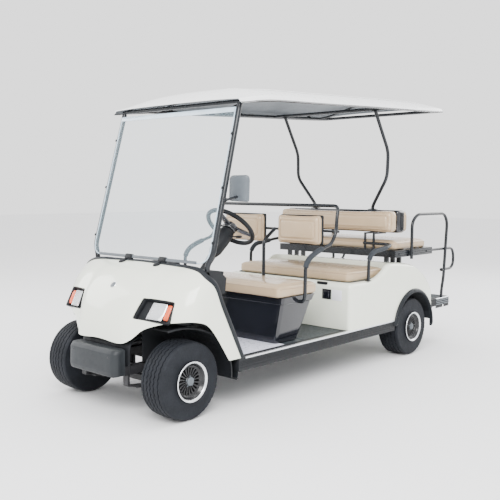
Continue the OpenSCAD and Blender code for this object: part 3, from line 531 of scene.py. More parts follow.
# Headlight corners on the driver's side: inner top, outer top, outer bottom, inner bottom
LAMP = [front(277, -116, 384), front(488, -62, 375), front(491, -128, 260), front(245, -176, 268)]
LAMP_MID = sum(LAMP, Vector()) / 4
LAMP_U = (LAMP[1] + LAMP[2] - LAMP[0] - LAMP[3]).normalized()
LAMP_OUT = LAMP_U.cross(LAMP[0] + LAMP[1] - LAMP[2] - LAMP[3]).normalized()
LAMP_OUT = LAMP_OUT if LAMP_OUT.y < 0 else -LAMP_OUT
LAMP_V = LAMP_OUT.cross(LAMP_U).normalized()
LAMP_V = LAMP_V if LAMP_V.z > 0 else -LAMP_V
LAMP_2D = [((p - LAMP_MID).dot(LAMP_U), (p - LAMP_MID).dot(LAMP_V)) for p in LAMP]


def lamp_loop(share, out, r=12):
    return [LAMP_MID + LAMP_U * p.x * share + LAMP_V * p.y * share + LAMP_OUT * out * MM
            for p in rounded(LAMP_2D, r * MM)]


def lamp_patch(u0, u1, v0, v1, out, r=6):
    """A rounded window in the lamp, as shares of its breadth and height from its inner bottom corner."""
    def spot(u, v):
        low = Vector(LAMP_2D[3]).lerp(Vector(LAMP_2D[2]), u)
        high = Vector(LAMP_2D[0]).lerp(Vector(LAMP_2D[1]), u)
        return low.lerp(high, v)
    corners = [spot(u0, v0), spot(u1, v0), spot(u1, v1), spot(u0, v1)]
    return [LAMP_MID + LAMP_U * p.x + LAMP_V * p.y + LAMP_OUT * out * MM for p in rounded(corners, r * MM)]


def shrunk(loop, share, out=0.0):
    mid = sum(loop, Vector()) / len(loop)
    return [mid + (p - mid) * share + LAMP_OUT * out * MM for p in loop]


def flip(bm):
    for v in bm.verts:
        v.co.x = -v.co.x


def both_sides(name, build, mat):
    """Builds a piece on the driver's side and its mirror image."""
    made = []
    for side, mark in ((1, "left"), (-1, "right")):
        bm = bmesh.new()
        build(bm)
        if side < 0:
            flip(bm)
        made.append(piece(f"{name}_{mark}", bm, mat))
    return made


def make_cowl():
    bm = bmesh.new()
    rows = [[bm.verts.new(cowl_point(u / 8, k / 30)) for u in range(8 * COWL_N + 1)] for k in range(31)]
    for a, b in zip(rows, rows[1:]):
        for i in range(len(a) - 1):
            bm.faces.new((a[i], a[i + 1], b[i + 1], b[i]))
    bm.normal_update()
    if sum(f.normal.z for f in bm.faces) < 0:
        bmesh.ops.reverse_faces(bm, faces=bm.faces)
    mesh = bpy.data.meshes.new("cowl_skin")
    bm.to_mesh(mesh)
    bm.free()
    mesh.materials.append(M["cream"])
    cowl = bpy.data.objects.new("cowl_skin", mesh)
    bpy.context.collection.objects.link(cowl)
    wall = cowl.modifiers.new("wall", "SOLIDIFY")
    wall.thickness = 5 * MM
    wall.offset = -1
    apply_all(cowl)
    cutters = []
    for side in (1, -1):
        cutter = bmesh.new()
        loft(cutter, [lamp_loop(1.0, 70), lamp_loop(1.0, -60)])
        if side < 0:
            flip(cutter)
        cutters.append(piece("cutter", cutter, M["cream"], ride=False))
    cut(cowl, *cutters)
    resharpen(cowl)
    settle(cowl, "chassis", ("front_cowl",))

    bm = bmesh.new()
    loops = []
    for i in range(8 * COWL_N + 1):
        u = i / 8
        p = cowl_point(u, 0)
        run = (cowl_point(min(u + 0.1, COWL_N), 0) - cowl_point(max(u - 0.1, 0), 0)).normalized()
        back = (p - cowl_point(u, 0.06)).normalized()
        out = back.cross(run).normalized()
        if out.dot(cowl_normal(u, 0.02)) < 0:
            out = -out
        p = p + back * 0.9 * MM
        shape = ((-10, 0.6), (-9, 3), (0, 4.2), (9, 4.6), (18, 3), (25, -0.5), (26, -6), (21, -12), (4, -12),
                 (2, -5))
        loops.append([p + back * a * MM + out * b * MM for a, b in shape])
    loft(bm, loops)
    piece("cowl_edge_trim", bm, M["trim"], stands_for=("cowl_trim",))

    # plain round badge in the middle of the nose
    spot, n = cowl_point(COWL_N / 2, 0.50), cowl_normal(COWL_N / 2, 0.50)
    bm = bmesh.new()
    lathe(bm, [(23, -2), (23, 1.5), (21.5, 3), (19.5, 2.6), (18.5, 1)], spot, n, n=48)
    piece("badge_ring", bm, M["chrome"])
    bm = bmesh.new()
    lathe(bm, [(18.6, 0.5), (18, 1.4), (12, 2.2), (6, 2.6), (0.1, 2.8)], spot, n, n=48)
    piece("badge_face", bm, M["grey"])


def make_headlights():
    def bezel(bm):
        loft(bm, [lamp_loop(0.985, -20), lamp_loop(0.99, 2), lamp_loop(0.97, 4.5), lamp_loop(0.93, 4),
                  lamp_loop(0.90, 0), lamp_loop(0.87, -14), lamp_loop(0.84, -42), lamp_loop(0.3, -46, 3)])

    def bucket(bm):
        edge = lamp_patch(0.33, 0.76, 0.12, 0.88, -7, 8)
        loft(bm, [shrunk(edge, 1.0, -2), shrunk(edge, 1.04, 0), shrunk(edge, 1.0, 1.2),
                  shrunk(edge, 0.93, 0), shrunk(edge, 0.9, -8),
                  shrunk(edge, 0.78, -22), shrunk(edge, 0.5, -31), shrunk(edge, 0.15, -34)])

    def lens(bm):
        edge = lamp_patch(0.34, 0.75, 0.14, 0.86, -6.5, 8)
        loft(bm, [shrunk(edge, 0.98, -3), shrunk(edge, 1.0, 0), shrunk(edge, 0.97, 2), shrunk(edge, 0.8, 4.5),
                  shrunk(edge, 0.5, 6.2), shrunk(edge, 0.2, 6.8)])

    def amber(bm):
        edge = lamp_patch(0.79, 0.945, 0.16, 0.86, -8, 12)
        loft(bm, [shrunk(edge, 0.96, -22), shrunk(edge, 1.0, -4), shrunk(edge, 0.96, 2), shrunk(edge, 0.8, 6),
                  shrunk(edge, 0.5, 8.5), shrunk(edge, 0.2, 9.2)])

    def bulb(bm):
        edge = lamp_patch(0.33, 0.76, 0.12, 0.88, -7, 8)
        spot = sum(edge, Vector()) / len(edge)
        lathe(bm, [(9, -30), (9, -16), (6.5, -9), (0.1, -6.5)], spot, LAMP_OUT, n=24)

    for name, build, mat in (("headlight_bezel", bezel, "plastic"), ("headlight_bucket", bucket, "chrome"),
                             ("headlight_bulb", bulb, "silver"), ("headlight_lens", lens, "lens"),
                             ("turn_lens", amber, "amber")):
        both_sides(name, build, M[mat])

    def tail_ring(bm):
        lathe(bm, [(36, 0), (36, 9), (34, 13), (30, 14), (29, 8)], rear(430, 345.3, 153), (0, 1, 0), n=48)

    def tail_face(bm):
        lathe(bm, [(29.5, 8), (29, 12), (22, 15), (12, 16), (0.1, 16.3)],
              rear(430, 345.3, 153), (0, 1, 0), n=48)

    ring = both_sides("tail_lamp_ring", tail_ring, M["chrome"])
    both_sides("tail_lamp_lens", tail_face, M["red"])
    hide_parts("lamps")


def make_bumper():
    lo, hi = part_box("front_bumper")
    half, y0, y1, z0, z1 = hi.x, lo.y, hi.y, lo.z, hi.z
    corner = 40 * MM
    bm = bmesh.new()
    loops = []
    stations = [-half + corner * (1 - math.cos(math.radians(a))) for a in (0, 12, 25, 40, 55, 72, 90)]
    far_end = [-s for s in stations[::-1]]
    stations += [-half + corner + (2 * half - 2 * corner) * k / 10 for k in range(1, 10)] + far_end
    for x in stations:
        end = max(0.0, abs(x) - (half - corner)) / corner
        recede = corner * (1 - math.sqrt(max(0.0, 1 - end * end)))
        bow = 5 * MM * (x / half) ** 2
        yf = y0 + recede + bow
        tuck = 9 * MM * end ** 3
        outline = rounded([(y1, z0 + tuck), (yf + 6 * MM, z0 + tuck), (yf, z0 + 30 * MM),
                           (yf + 3 * MM, z1 - 26 * MM), (yf + 20 * MM, z1 - tuck), (y1, z1 - tuck)],
                           [0, 22 * MM, 14 * MM, 14 * MM, 20 * MM, 0], 6)
        loops.append([Vector((x, p.x, p.y)) for p in outline])
    loft(bm, loops)
    piece("bumper_moulding", bm, M["bumper"], stands_for=("front_bumper",), sharp=50)
    bm = bmesh.new()
    for x in (-0.09, 0.0, 0.09):
        prism(bm, oblong(x - 0.022, x + 0.022, z0 - 1.5 * MM, z0 + 9 * MM, 3 * MM),
              lambda u, v, w: Vector((u, w, v)), y1 - 30 * MM, y1 - 4 * MM, 1 * MM)
    for x in (-0.17, 0.17):
        bolt(bm, (x, y0 + 9 * MM, z1 - 44 * MM), (0, -1, 0), 7, 4)
    piece("bumper_fixings", bm, M["tube"])

    # dark valance between the bumper and the cowl, inside the sweep of the steered tyres
    bm = bmesh.new()
    line = [front(0, -208, -58), front(0, -212, 0), front(0, -214, 70), front(0, -205, 128),
            front(0, -150, 150), front(0, -60, 158)]
    path = eased(line, 40, 5)
    inner = [p + Vector((0, 4 * MM, -2 * MM)) for p in path]
    loops = []
    for k in range(25):
        x = (-228 + 456 * k / 24) * MM
        bow = 26 * MM * (x / 0.228) ** 4
        dent = -3 * MM if k % 4 == 0 else 0
        loops.append([Vector((x, p.y + bow - dent, p.z)) for p in path + inner[::-1]])
    loft(bm, loops)
    piece("nose_valance", bm, M["plastic"], sharp=50)


# ---- windshield, roof, mirror ----

WS_FOOT, WS_HEAD = (140, 548), (401, 1535)
WS_LOW, WS_TOP = 545, 528
ROOF_ROWS = ((352, 0, .10, 24), (400, 5, .42, 10), (520, 24, .78, 2), (700, 40, .95, 0),
             (1182, 63, 1, 0), (1769, 94, 1, 0), (2400, 124, 1, 0), (2700, 140, .92, 1), (2810, 147, .62, 6),
             (2860, 150, .2, 18))
ROOF_H, ROOF_LIP, ROOF_CROWN, ROOF_HW = 1524, 30, 85, 622
# the roof frame's tubes: radius, height over the lip, half width
FRAME_R, FRAME_UP, FRAME_HW = 12.5, 12, 565
POST_TOP = -349
POST_TOP_Y = 2400 + POST_TOP


def ws_at(z):
    k = (z - WS_FOOT[1]) / (WS_HEAD[1] - WS_FOOT[1])
    return WS_LOW + (WS_TOP - WS_LOW) * k, WS_FOOT[0] + (WS_HEAD[0] - WS_FOOT[0]) * k


def roof_row(u):
    r = along([Vector(row) for row in ROOF_ROWS], u)
    return r[0], ROOF_H + r[1], r[2], ROOF_HW - r[3]


def roof_point(u, s):
    """A point on the roof: u along ROOF_ROWS, s across it from -1 to 1."""
    y, z, crown, half = roof_row(u)
    side = -1 if s < 0 else 1
    k = min(abs(s) / 0.9, 1)
    if abs(s) > 0.9:
        x = half * (0.97 + 0.03 * (abs(s) - 0.9) / 0.1)
        h = z + ROOF_LIP * (1 - abs(s)) / 0.1
    else:
        x = half * k * (1 - 0.03 * k ** 8)
        h = z + ROOF_LIP + ROOF_CROWN * crown * (1 - k ** 3.2)
    return front(side * x, y, h)


def roof_edge(y):
    rows = [roof_row(i) for i in range(len(ROOF_ROWS))]
    for a, b in zip(rows, rows[1:]):
        if a[0] <= y <= b[0]:
            return a[1] + (b[1] - a[1]) * (y - a[0]) / (b[0] - a[0])
    return rows[-1][1]


def make_windshield():
    tilt = math.atan2(WS_HEAD[0] - WS_FOOT[0], WS_HEAD[1] - WS_FOOT[1])
    low, high, r = 574, 1500, 90
    length = (high - low) / math.cos(tilt)
    across = Vector((1, 0, 0))
    up = Vector((0, math.sin(tilt), math.cos(tilt)))
    out = Vector((0, -math.cos(tilt), math.sin(tilt)))
    base = front(0, ws_at(low)[1], low)
    ride_out = 16 + 2.5 - 1.4
    corners = [(WS_TOP + 6, length), (-WS_TOP - 6, length), (-WS_LOW - 4, 0), (WS_LOW + 4, 0)]

    def place(u, v, w):
        return base + across * u * MM + up * v * MM + out * w * MM

    outline = rounded(corners, [4, 4, r, r], 12)
    bm = bmesh.new()
    prism(bm, outline, place, ride_out - 2.5, ride_out + 2.5, 0.6)
    piece("windshield_sheet", bm, M["glass"], stands_for=("windshield_glass",))
    bm = bmesh.new()
    tube(bm, [place(p.x * 0.997, 3 + p.y * 0.996, ride_out) for p in outline], 3.6, 8, closed=True)
    piece("windshield_edge", bm, M["edge"])
    bm = bmesh.new()
    prism(bm, oblong(-470, 455, -3, 15, 5), place, ride_out + 1, ride_out + 9, 2)
    piece("windshield_foot_bar", bm, M["grey"])
    bm = bmesh.new()
    prism(bm, oblong(-WS_TOP - 2, WS_TOP + 2, length - 30, length - 2, 4),
          place, ride_out + 2.5, ride_out + 8, 1.5)
    piece("windshield_head_bar", bm, M["edge"])
    bm = bmesh.new()
    for x in (-160, 160):
        prism(bm, rounded([(x - 30, -24), (x + 26, -24), (x + 34, 4), (x + 30, 22), (x - 30, 22),
                           (x - 36, 2)], 9), place, 9, 30, 4)
        foot = base + across * x * MM
        seat = cowl_point(9 + x / 185, 0.05)
        tube(bm, [foot - up * 10 * MM + out * 20 * MM, (foot + seat) / 2 + out * 16 * MM,
                  seat - Vector((0, 0, 2 * MM))], 9, 12)
        lathe(bm, [(24, -2), (24, 4), (19, 8), (0.1, 9)], seat, cowl_normal(9 + x / 185, 0.05), n=24)
    piece("windshield_clamps", bm, M["plastic"])

    x_head, y_head = WS_TOP + 14, WS_HEAD[0]
    foot = ws_at(640)
    path = eased([front(522, 152, 540.3), front(522, 152, 570.3), front(foot[0] + 14, foot[1], 640),
                  front(x_head, y_head, roof_edge(y_head) + FRAME_UP - FRAME_R - 1)], 28)
    bm = bmesh.new()
    tube(bm, path, 16, 24)
    tube(bm, mirrored(path), 16, 24)
    for side in (1, -1):
        for z in (700, 1020, 1340):
            x, y = ws_at(z)
            spot = front(side * (x + 14), y, z) + out * 14 * MM
            bolt(bm, spot + out * 8.5 * MM, out, 6, 4)
    piece("windshield_posts", bm, M["tube"], stands_for=("windshield_frame",))


def make_mirror():
    z = 955
    x, y = ws_at(z)
    back = y + 1 + 112
    start = front(x + 30.3, y + 1, z)
    bm = bmesh.new()
    tube(bm, eased([start, start + Vector((16 * MM, 0, 0)), front(x + 54.3, back, z + 24)], 12), 8, 14)
    lathe(bm, [(15, 0), (15, 6), (11, 12), (0.1, 13)], start - Vector((3 * MM, 0, 0)), (1, 0, 0), n=24)
    piece("mirror_arm", bm, M["tube"], stands_for=("side_mirror",))
    outline = rounded([(x + 127, z + 146), (x - 17, z + 144), (x - 23, z - 9), (x + 121, z - 14)],
                      [32, 24, 15, 15], 7)
    mid = sum(outline, Vector((0, 0))) / len(outline)

    def ring(share, y_at):
        return [front(mid.x + (p.x - mid.x) * share, y_at, mid.y + (p.y - mid.y) * share) for p in outline]

    bm = bmesh.new()
    loft(bm, [ring(0.93, back - 3), ring(0.985, back), ring(1.0, back - 5), ring(0.99, back - 18),
              ring(0.93, back - 28), ring(0.75, back - 33), ring(0.3, back - 34)])
    piece("mirror_shell", bm, M["grey"])
    bm = bmesh.new()
    loft(bm, [ring(0.9, back - 2.8), ring(0.9, back - 1.4), ring(0.88, back - 1), ring(0.4, back - 0.8)])
    piece("mirror_glass", bm, M["mirror"])


def make_roof():
    bm = bmesh.new()
    n = 4 * (len(ROOF_ROWS) - 1)
    shares = [k / 20 for k in range(20, -21, -1)]
    shares = sorted(set(shares + [0.88, -0.88, 0.92, -0.92, 0.98, -0.98]), reverse=True)
    grids = []
    for drop, inset in ((0, 1.0), (5, 1 - 5 / ROOF_HW)):
        grid = []
        for i in range(n + 1):
            row = []
            for s in shares:
                p = roof_point(i / 4, s)
                p = Vector((p.x * inset, p.y, p.z - (drop * MM if abs(s) < 0.93 else 0)))
                row.append(bm.verts.new(p))
            grid.append(row)
        grids.append(grid)
    for index, grid in enumerate(grids):
        for a, b in zip(grid, grid[1:]):
            for i in range(len(shares) - 1):
                face = bm.faces.new((a[i], a[i + 1], b[i + 1], b[i]))
                face.material_index = index
    top, under = grids
    m = len(shares)
    rim = [(top[0][i], top[0][i + 1], under[0][i + 1], under[0][i]) for i in range(m - 1)]
    rim += [(top[-1][i], top[-1][i + 1], under[-1][i + 1], under[-1][i]) for i in range(m - 1)]
    rim += [(top[i][j], top[i + 1][j], under[i + 1][j], under[i][j]) for i in range(n) for j in (0, m - 1)]
    for quad in rim:
        bm.faces.new(quad)
    roof = piece("roof_skin", bm, M["white"], stands_for=("roof_panel",), sharp=45)
    roof.data.materials.append(M["lining"])

    # low ribs pressed into the roof, and the drip edge under its lip
    bm = bmesh.new()
    for s in (-0.62, -0.32, 0, 0.32, 0.62):
        loops = []
        for i in range(10, n - 5):
            p = roof_point(i / 4, s)
            rise = 3.2 * min(1, (i - 10) / 2, (n - 6 - i) / 2) + 0.3
            shape = ((-17, -2), (-14, rise * 0.5), (-9, rise), (9, rise), (14, rise * 0.5), (17, -2))
            loops.append([p + Vector((a * MM, 0, h * MM)) for a, h in shape])
        loft(bm, loops)
    piece("roof_ribs", bm, M["white"])
    bm = bmesh.new()
    edge = [roof_point(i / 4, 1) for i in range(n + 1)]
    loop = edge + mirrored(edge)[::-1]
    tube(bm, [Vector((p.x * 0.994, p.y, p.z + 3 * MM)) for p in loop], 3.4, 8, closed=True)
    piece("roof_drip_edge", bm, M["trim"])

    # frame under it
    ys = [401, 701, 1301, POST_TOP_Y, 2700, 2824]
    side = [front(524 if y > 2750 else FRAME_HW, y, roof_edge(y) + FRAME_UP) for y in ys]
    half = [Vector((0, side[0].y, side[0].z))] + side + [Vector((0, side[-1].y, side[-1].z))]
    path = eased(half, 30)
    bm = bmesh.new()
    loop = path + mirrored(path)[-2:0:-1]
    tube(bm, loop, FRAME_R, 18, closed=True)
    tube(bm, [mirrored(side)[3], side[3]], FRAME_R, 18)
    for y in (701, 1301, 2700):
        p = front(FRAME_HW, y, roof_edge(y) + 13)
        arch = []
        for k in range(13):
            x = 2 * FRAME_HW * k / 12
            rise = roof_point(roof_u(y), (FRAME_HW - x) / ROOF_HW * 0.97).z - 10 * MM - p.z
            arch.append(p + Vector((-x * MM, 0, rise * min(1, 3 * min(k, 12 - k) / 12))))
        tube(bm, arch, 9, 14)
    piece("roof_frame_tubes", bm, M["tube"], stands_for=("roof_frame",))
    bm = bmesh.new()
    for y in (480, 860, 1230, 1620, 2200, 2560):
        for x in (-1, 1):
            c = front(x * 566, y, roof_edge(y) + 13)
            soft_box(bm, (c.x, c.y - 14 * MM, c.z + 9 * MM),
                     (c.x + x * 26 * MM, c.y + 14 * MM, c.z + 19 * MM), 2, 2)
            bolt(bm, Vector((c.x + x * 14 * MM, c.y, c.z + 9 * MM)), (0, 0, -1), 5, 4)
    piece("roof_clips", bm, M["plastic"])


def roof_u(y):
    for i in range(len(ROOF_ROWS) - 1):
        if ROOF_ROWS[i][0] <= y <= ROOF_ROWS[i + 1][0]:
            return i + (y - ROOF_ROWS[i][0]) / (ROOF_ROWS[i + 1][0] - ROOF_ROWS[i][0])
    return len(ROOF_ROWS) - 1


def make_rear_posts():
    top = roof_edge(POST_TOP_Y) + FRAME_UP - FRAME_R - 2.8
    path = eased([rear(288, -112, 860.3), rear(288, -112, 890), rear(447, -160, 1121), rear(452, -158, 1326),
                  rear(447, POST_TOP, top)], 55)
    bm = bmesh.new()
    tube(bm, path, 13.5, 22)
    tube(bm, mirrored(path), 13.5, 22)
    for x in (-288, 288):
        soft_box(bm, rear(x - 34, -136, 859), rear(x + 34, -88, 865), 2, 2)
        for dx in (-24, 24):
            bolt(bm, rear(x + dx, -112, 865), (0, 0, 1), 5, 4)
    for x in (-447, 447):
        soft_box(bm, rear(x - 22, POST_TOP - 20, top - 3), rear(x + 22, POST_TOP + 20, top + 2), 2, 2)
    piece("rear_posts", bm, M["tube"], stands_for=("rear_roof_posts",))


# ---- dashboard and steering wheel ----

TILT = math.radians(180 - 43)
WHEEL = front(300, 580, 775)
COL_Y = Vector((0, math.cos(TILT), math.sin(TILT)))
COL_Z = Vector((0, -math.sin(TILT), math.cos(TILT)))


def column(x, y, z):
    return WHEEL + Vector((x * MM, 0, 0)) + COL_Y * y * MM + COL_Z * z * MM


def make_steering():
    bm = bmesh.new()
    ring = []
    for k in range(96):
        a = 2 * math.pi * k / 96
        ring.append(column(161 * math.cos(a), 161 * math.sin(a), 0))
    tube(bm, ring, 14.5, 18, closed=True)
    piece("steering_rim", bm, M["plastic"], "steering_wheel", stands_for=("steering_wheel",))
    bm = bmesh.new()
    for a in (90, 210, 330):
        c, s = math.cos(math.radians(a)), math.sin(math.radians(a))

        def place(u, v, w, c=c, s=s):
            return column(u * c - v * s, u * s + v * c, w)
        prism(bm, rounded([(30, -24), (152, -13), (152, 13), (30, 24)], 6), place, -7, 5, 3)
    hub = ((0.1, -22), (30, -21), (43, -16), (47.5, -7), (47.5, 20), (43, 27), (0.1, 27))
    lathe(bm, hub, WHEEL, COL_Z, n=48)
    piece("steering_hub", bm, M["gloss"], "steering_wheel")

    bm = bmesh.new()
    lathe(bm, [(26, 29), (44, 34), (50, 52), (48, 120), (40, 200), (28, 232)], WHEEL, COL_Z, n=40)
    for side, reach in ((-1, 110), (1, 96)):
        tube(bm, [column(side * 44, 0, 78), column(side * reach, -14, 66)], 4.5, 12, round_ends=0.9)
        tube(bm, [column(side * (reach - 6), -14, 67), column(side * (reach + 26), -16, 62)], 8, 12,
             round_ends=0.9)
    piece("column_shroud", bm, M["plastic"])

    bm = bmesh.new()
    soft_box(bm, front(-120, 258, 512), front(120, 318, 552), 12, 4)
    for x in (-470, 470):
        soft_box(bm, front(x - 45, 262, 508), front(x + 45, 300, 528), 6, 3)
    for x0, x1 in ((-500, -170), (-150, 150)):
        soft_box(bm, front(x0, 284, 416), front(x1, 300, 482), 6, 3)
    piece("dash_pod", bm, M["plastic"])
    bm = bmesh.new()
    lathe(bm, [(34, 0), (34, 5), (30, 6), (28, 3)], front(-40, 318, 532), (0, 1, 0.1), n=40)
    lathe(bm, [(17, 0), (17, 5), (14, 7), (0.1, 6.5)], front(60, 318, 532), (0, 1, 0.1), n=32)
    piece("dash_dials", bm, M["silver"])
    bm = bmesh.new()
    lathe(bm, [(28.4, 1), (27, 3.4), (0.1, 3.8)], front(-40, 318, 532), (0, 1, 0.1), n=40)
    piece("dial_face", bm, M["gloss"])
    bm = bmesh.new()
    a, b = Vector((0, 290, 82)), Vector((0, 215, 225))
    d = (b - a).normalized()
    out = Vector((0, -d.z, d.y)) * -1
    for x in (170, 330):
        for k in range(6):
            share = 0.5 + 0.055 * k
            spot = a + (b - a) * share + out * (63 + 12 * (share - 0.35))
            p = front(x, spot.y, spot.z)
            tube(bm, [p - Vector((31 * MM, 0, 0)), p + Vector((31 * MM, 0, 0))], 2.4, 8)
    piece("pedal_grips", bm, M["trim"])


# ---- wheels ----

def make_tyre(name, node, body):
    """Columns of (radius, side, wave); a radius of zero or less is measured from the crown."""
    c = middle(node)
    steps = 168
    side = [(101.6, 90), (107, 98), (112, 101.5), (117, 104.5), (121, 106.2), (125, 104.6), (131, 105),
            (147, 106.8), (150, 108),
            (153, 107), (165, 108), (176, 107.6), (186, 106.4), (196, 103), (205, 97), (212, 91.5)]
    tread = [(218, 87.5, 0), (221.5, 83.5, 0), (223.3, 80, 0)]
    for mid, amp in ((60, 3.2), (28, 4.2), (0, 4.2)):
        tread += [(0, mid + 12.5, 0), (0, mid + 4, amp), (-7, mid + 2.4, amp), (-7, mid - 2.4, amp),
                  (0, mid - 4, amp)]
    columns = [(r, l, 0) for r, l in side]
    for r, l, amp in tread:
        crown = 228.6 - 5.3 * min(1, abs(l) / 82.8) ** 1.7
        columns.append((r if r > 0 else crown + r, l, amp))
    seen = []
    for col in columns + [(r, -l, amp) for r, l, amp in columns[::-1]]:
        if not seen or col[1] < seen[-1][1] - 0.5:
            seen.append(col)
    loops = []
    for i in range(steps):
        a = 2 * math.pi * i / steps
        wave = (0, 1, 0, -1)[i % 4]
        loop = []
        for r, l, amp in seen:
            if 210 < r < 222.5 and i % 4 == 2:
                r -= 3.5
            loop.append(Vector((c.x + (l + amp * wave) * MM, c.y + r * MM * math.cos(a),
                                c.z + r * MM * math.sin(a))))
        loops.append(loop)
    bm = bmesh.new()
    rings = [[bm.verts.new(p) for p in loop] for loop in loops]
    for k in range(steps):
        p, q = rings[k], rings[(k + 1) % steps]
        for i in range(len(seen) - 1):
            bm.faces.new((p[i], p[i + 1], q[i + 1], q[i]))
    piece(name, bm, M["tyre"], body, 42, (node,))


def make_rim(mark, node, body, side):
    axis = Vector((side, 0, 0))
    centre = middle("tyre_" + mark)
    half = 108
    bm = bmesh.new()
    lathe(bm, [(96, 18 - half), (101, 16 - half), (101.6, 22 - half), (101.3, half - 20),
               (112, half - 7), (113, half - 5), (107, half - 6), (97, half - 16),
               (94, half - 24), (88, half - 30), (80, half - 33), (78, half - 37),
               (90, half - 40), (96, half - 46), (96, 18 - half)], centre, axis, n=72)
    for k in range(20):
        a = 2 * math.pi * k / 20
        d = Vector((0, math.cos(a), math.sin(a)))
        t = axis.cross(d)
        loops = []
        for r, w, h, thick in ((30, 3.0, -33, 10), (45, 4.0, -35, 10), (62, 5.2, -34.5, 9),
                               (80, 6.4, -31, 8)):
            mid = centre + d * r * MM + axis * (half + h) * MM + t * (r - 30) * 0.1 * MM
            loops.append([mid - t * w * MM - axis * thick * MM, mid - t * w * 0.8 * MM,
                          mid - t * w * 0.3 * MM + axis * 1.4 * MM,
                          mid + t * w * 0.3 * MM + axis * 1.4 * MM, mid + t * w * 0.8 * MM,
                          mid + t * w * MM - axis * thick * MM])
        loft(bm, loops)
    lathe(bm, [(15.2, half - 100), (33, half - 100), (34, half - 40), (33, half - 30),
               (27, half - 24), (25, half - 23)], centre, axis, n=48)
    lathe(bm, [(92, half - 52), (60, half - 62), (34, half - 64)], centre, axis, n=48)
    piece("wheel_" + mark, bm, M["rim"], body, 40, (node,))
    bm = bmesh.new()
    lathe(bm, [(99, half - 15), (104, half - 9), (109, half - 3.2), (113.5, half - 0.4),
               (116.5, half - 1.5), (117, half - 4), (112, half - 6)], centre, axis, n=96)
    piece("trim_ring_" + mark, bm, M["silver"], body, 60)
    bm = bmesh.new()
    lathe(bm, [(25.4, half - 28), (25, half - 20), (21, half - 15.5), (12, half - 13),
               (0.1, half - 12.4)], centre, axis, n=40)
    for k in range(5):
        a = 2 * math.pi * k / 5 + 0.3
        bolt(bm, centre + Vector((0, math.cos(a), math.sin(a))) * 29.5 * MM + axis * (half - 27) * MM, axis,
             3, 4)
    piece("hub_cap_" + mark, bm, M["grey"], body, 40)


def make_wheels():
    for mark, side in (("front_left", 1), ("front_right", -1), ("rear_left", 1), ("rear_right", -1)):
        make_tyre("tread_" + mark, "tyre_" + mark, mark + "_wheel")
        make_rim(mark, "rim_" + mark, mark + "_wheel", side)


# ---- floor, sills, rear body, step ----

TUB_IN = 231 * MM    # the tubs' inner walls, from the centre line


def make_tubs():
    """Inner arches over the front wheels, drawn in under the narrowing nose."""
    r = 298

    def tub(bm):
        outer = []
        for k in range(20):
            deg = -6 + 114 * k / 19
            a = math.radians(deg)
            y, z = FA + r * MM * math.cos(a), AXLE_Z + r * MM * math.sin(a)
            x = HW - (14.5 + 135 * max(0, (deg - 45) / 63)) * MM
            outer.append((x, y, z, a))
        foot = (HW - 14.5 * MM, FA + (r + 52) * MM, AXLE_Z - 42 * MM, math.radians(-6))
        loops = []
        for x, y, z, a in [foot] + outer:
            back = Vector((0, math.cos(a), math.sin(a))) * 4 * MM
            p, q = Vector((TUB_IN, y, z)), Vector((x, y, z))
            lip = q - Vector((0, math.cos(a), math.sin(a))) * 7 * MM
            loops.append([p, q, lip, lip + Vector((1.5 * MM, 0, 0)),
                          q + Vector((1.5 * MM, 0, 0)) + back * 0.5, q + back, p + back])
        loft(bm, loops)
        wall = []
        for x, y, z, a in outer[2:]:
            d = Vector((0, math.cos(a), math.sin(a)))
            wall.append(Vector((TUB_IN, y, z)) + d * 2 * MM)
        wall += [Vector((TUB_IN, FA - 0.096, FZ + 6 * MM)), Vector((TUB_IN, FA + (r - 10) * MM, FZ + 6 * MM))]
        loft(bm, [wall, [p + Vector((4 * MM, 0, 0)) for p in wall]])

    made = both_sides("front_tub", tub, M["plastic"])
    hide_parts("wheel_tubs")


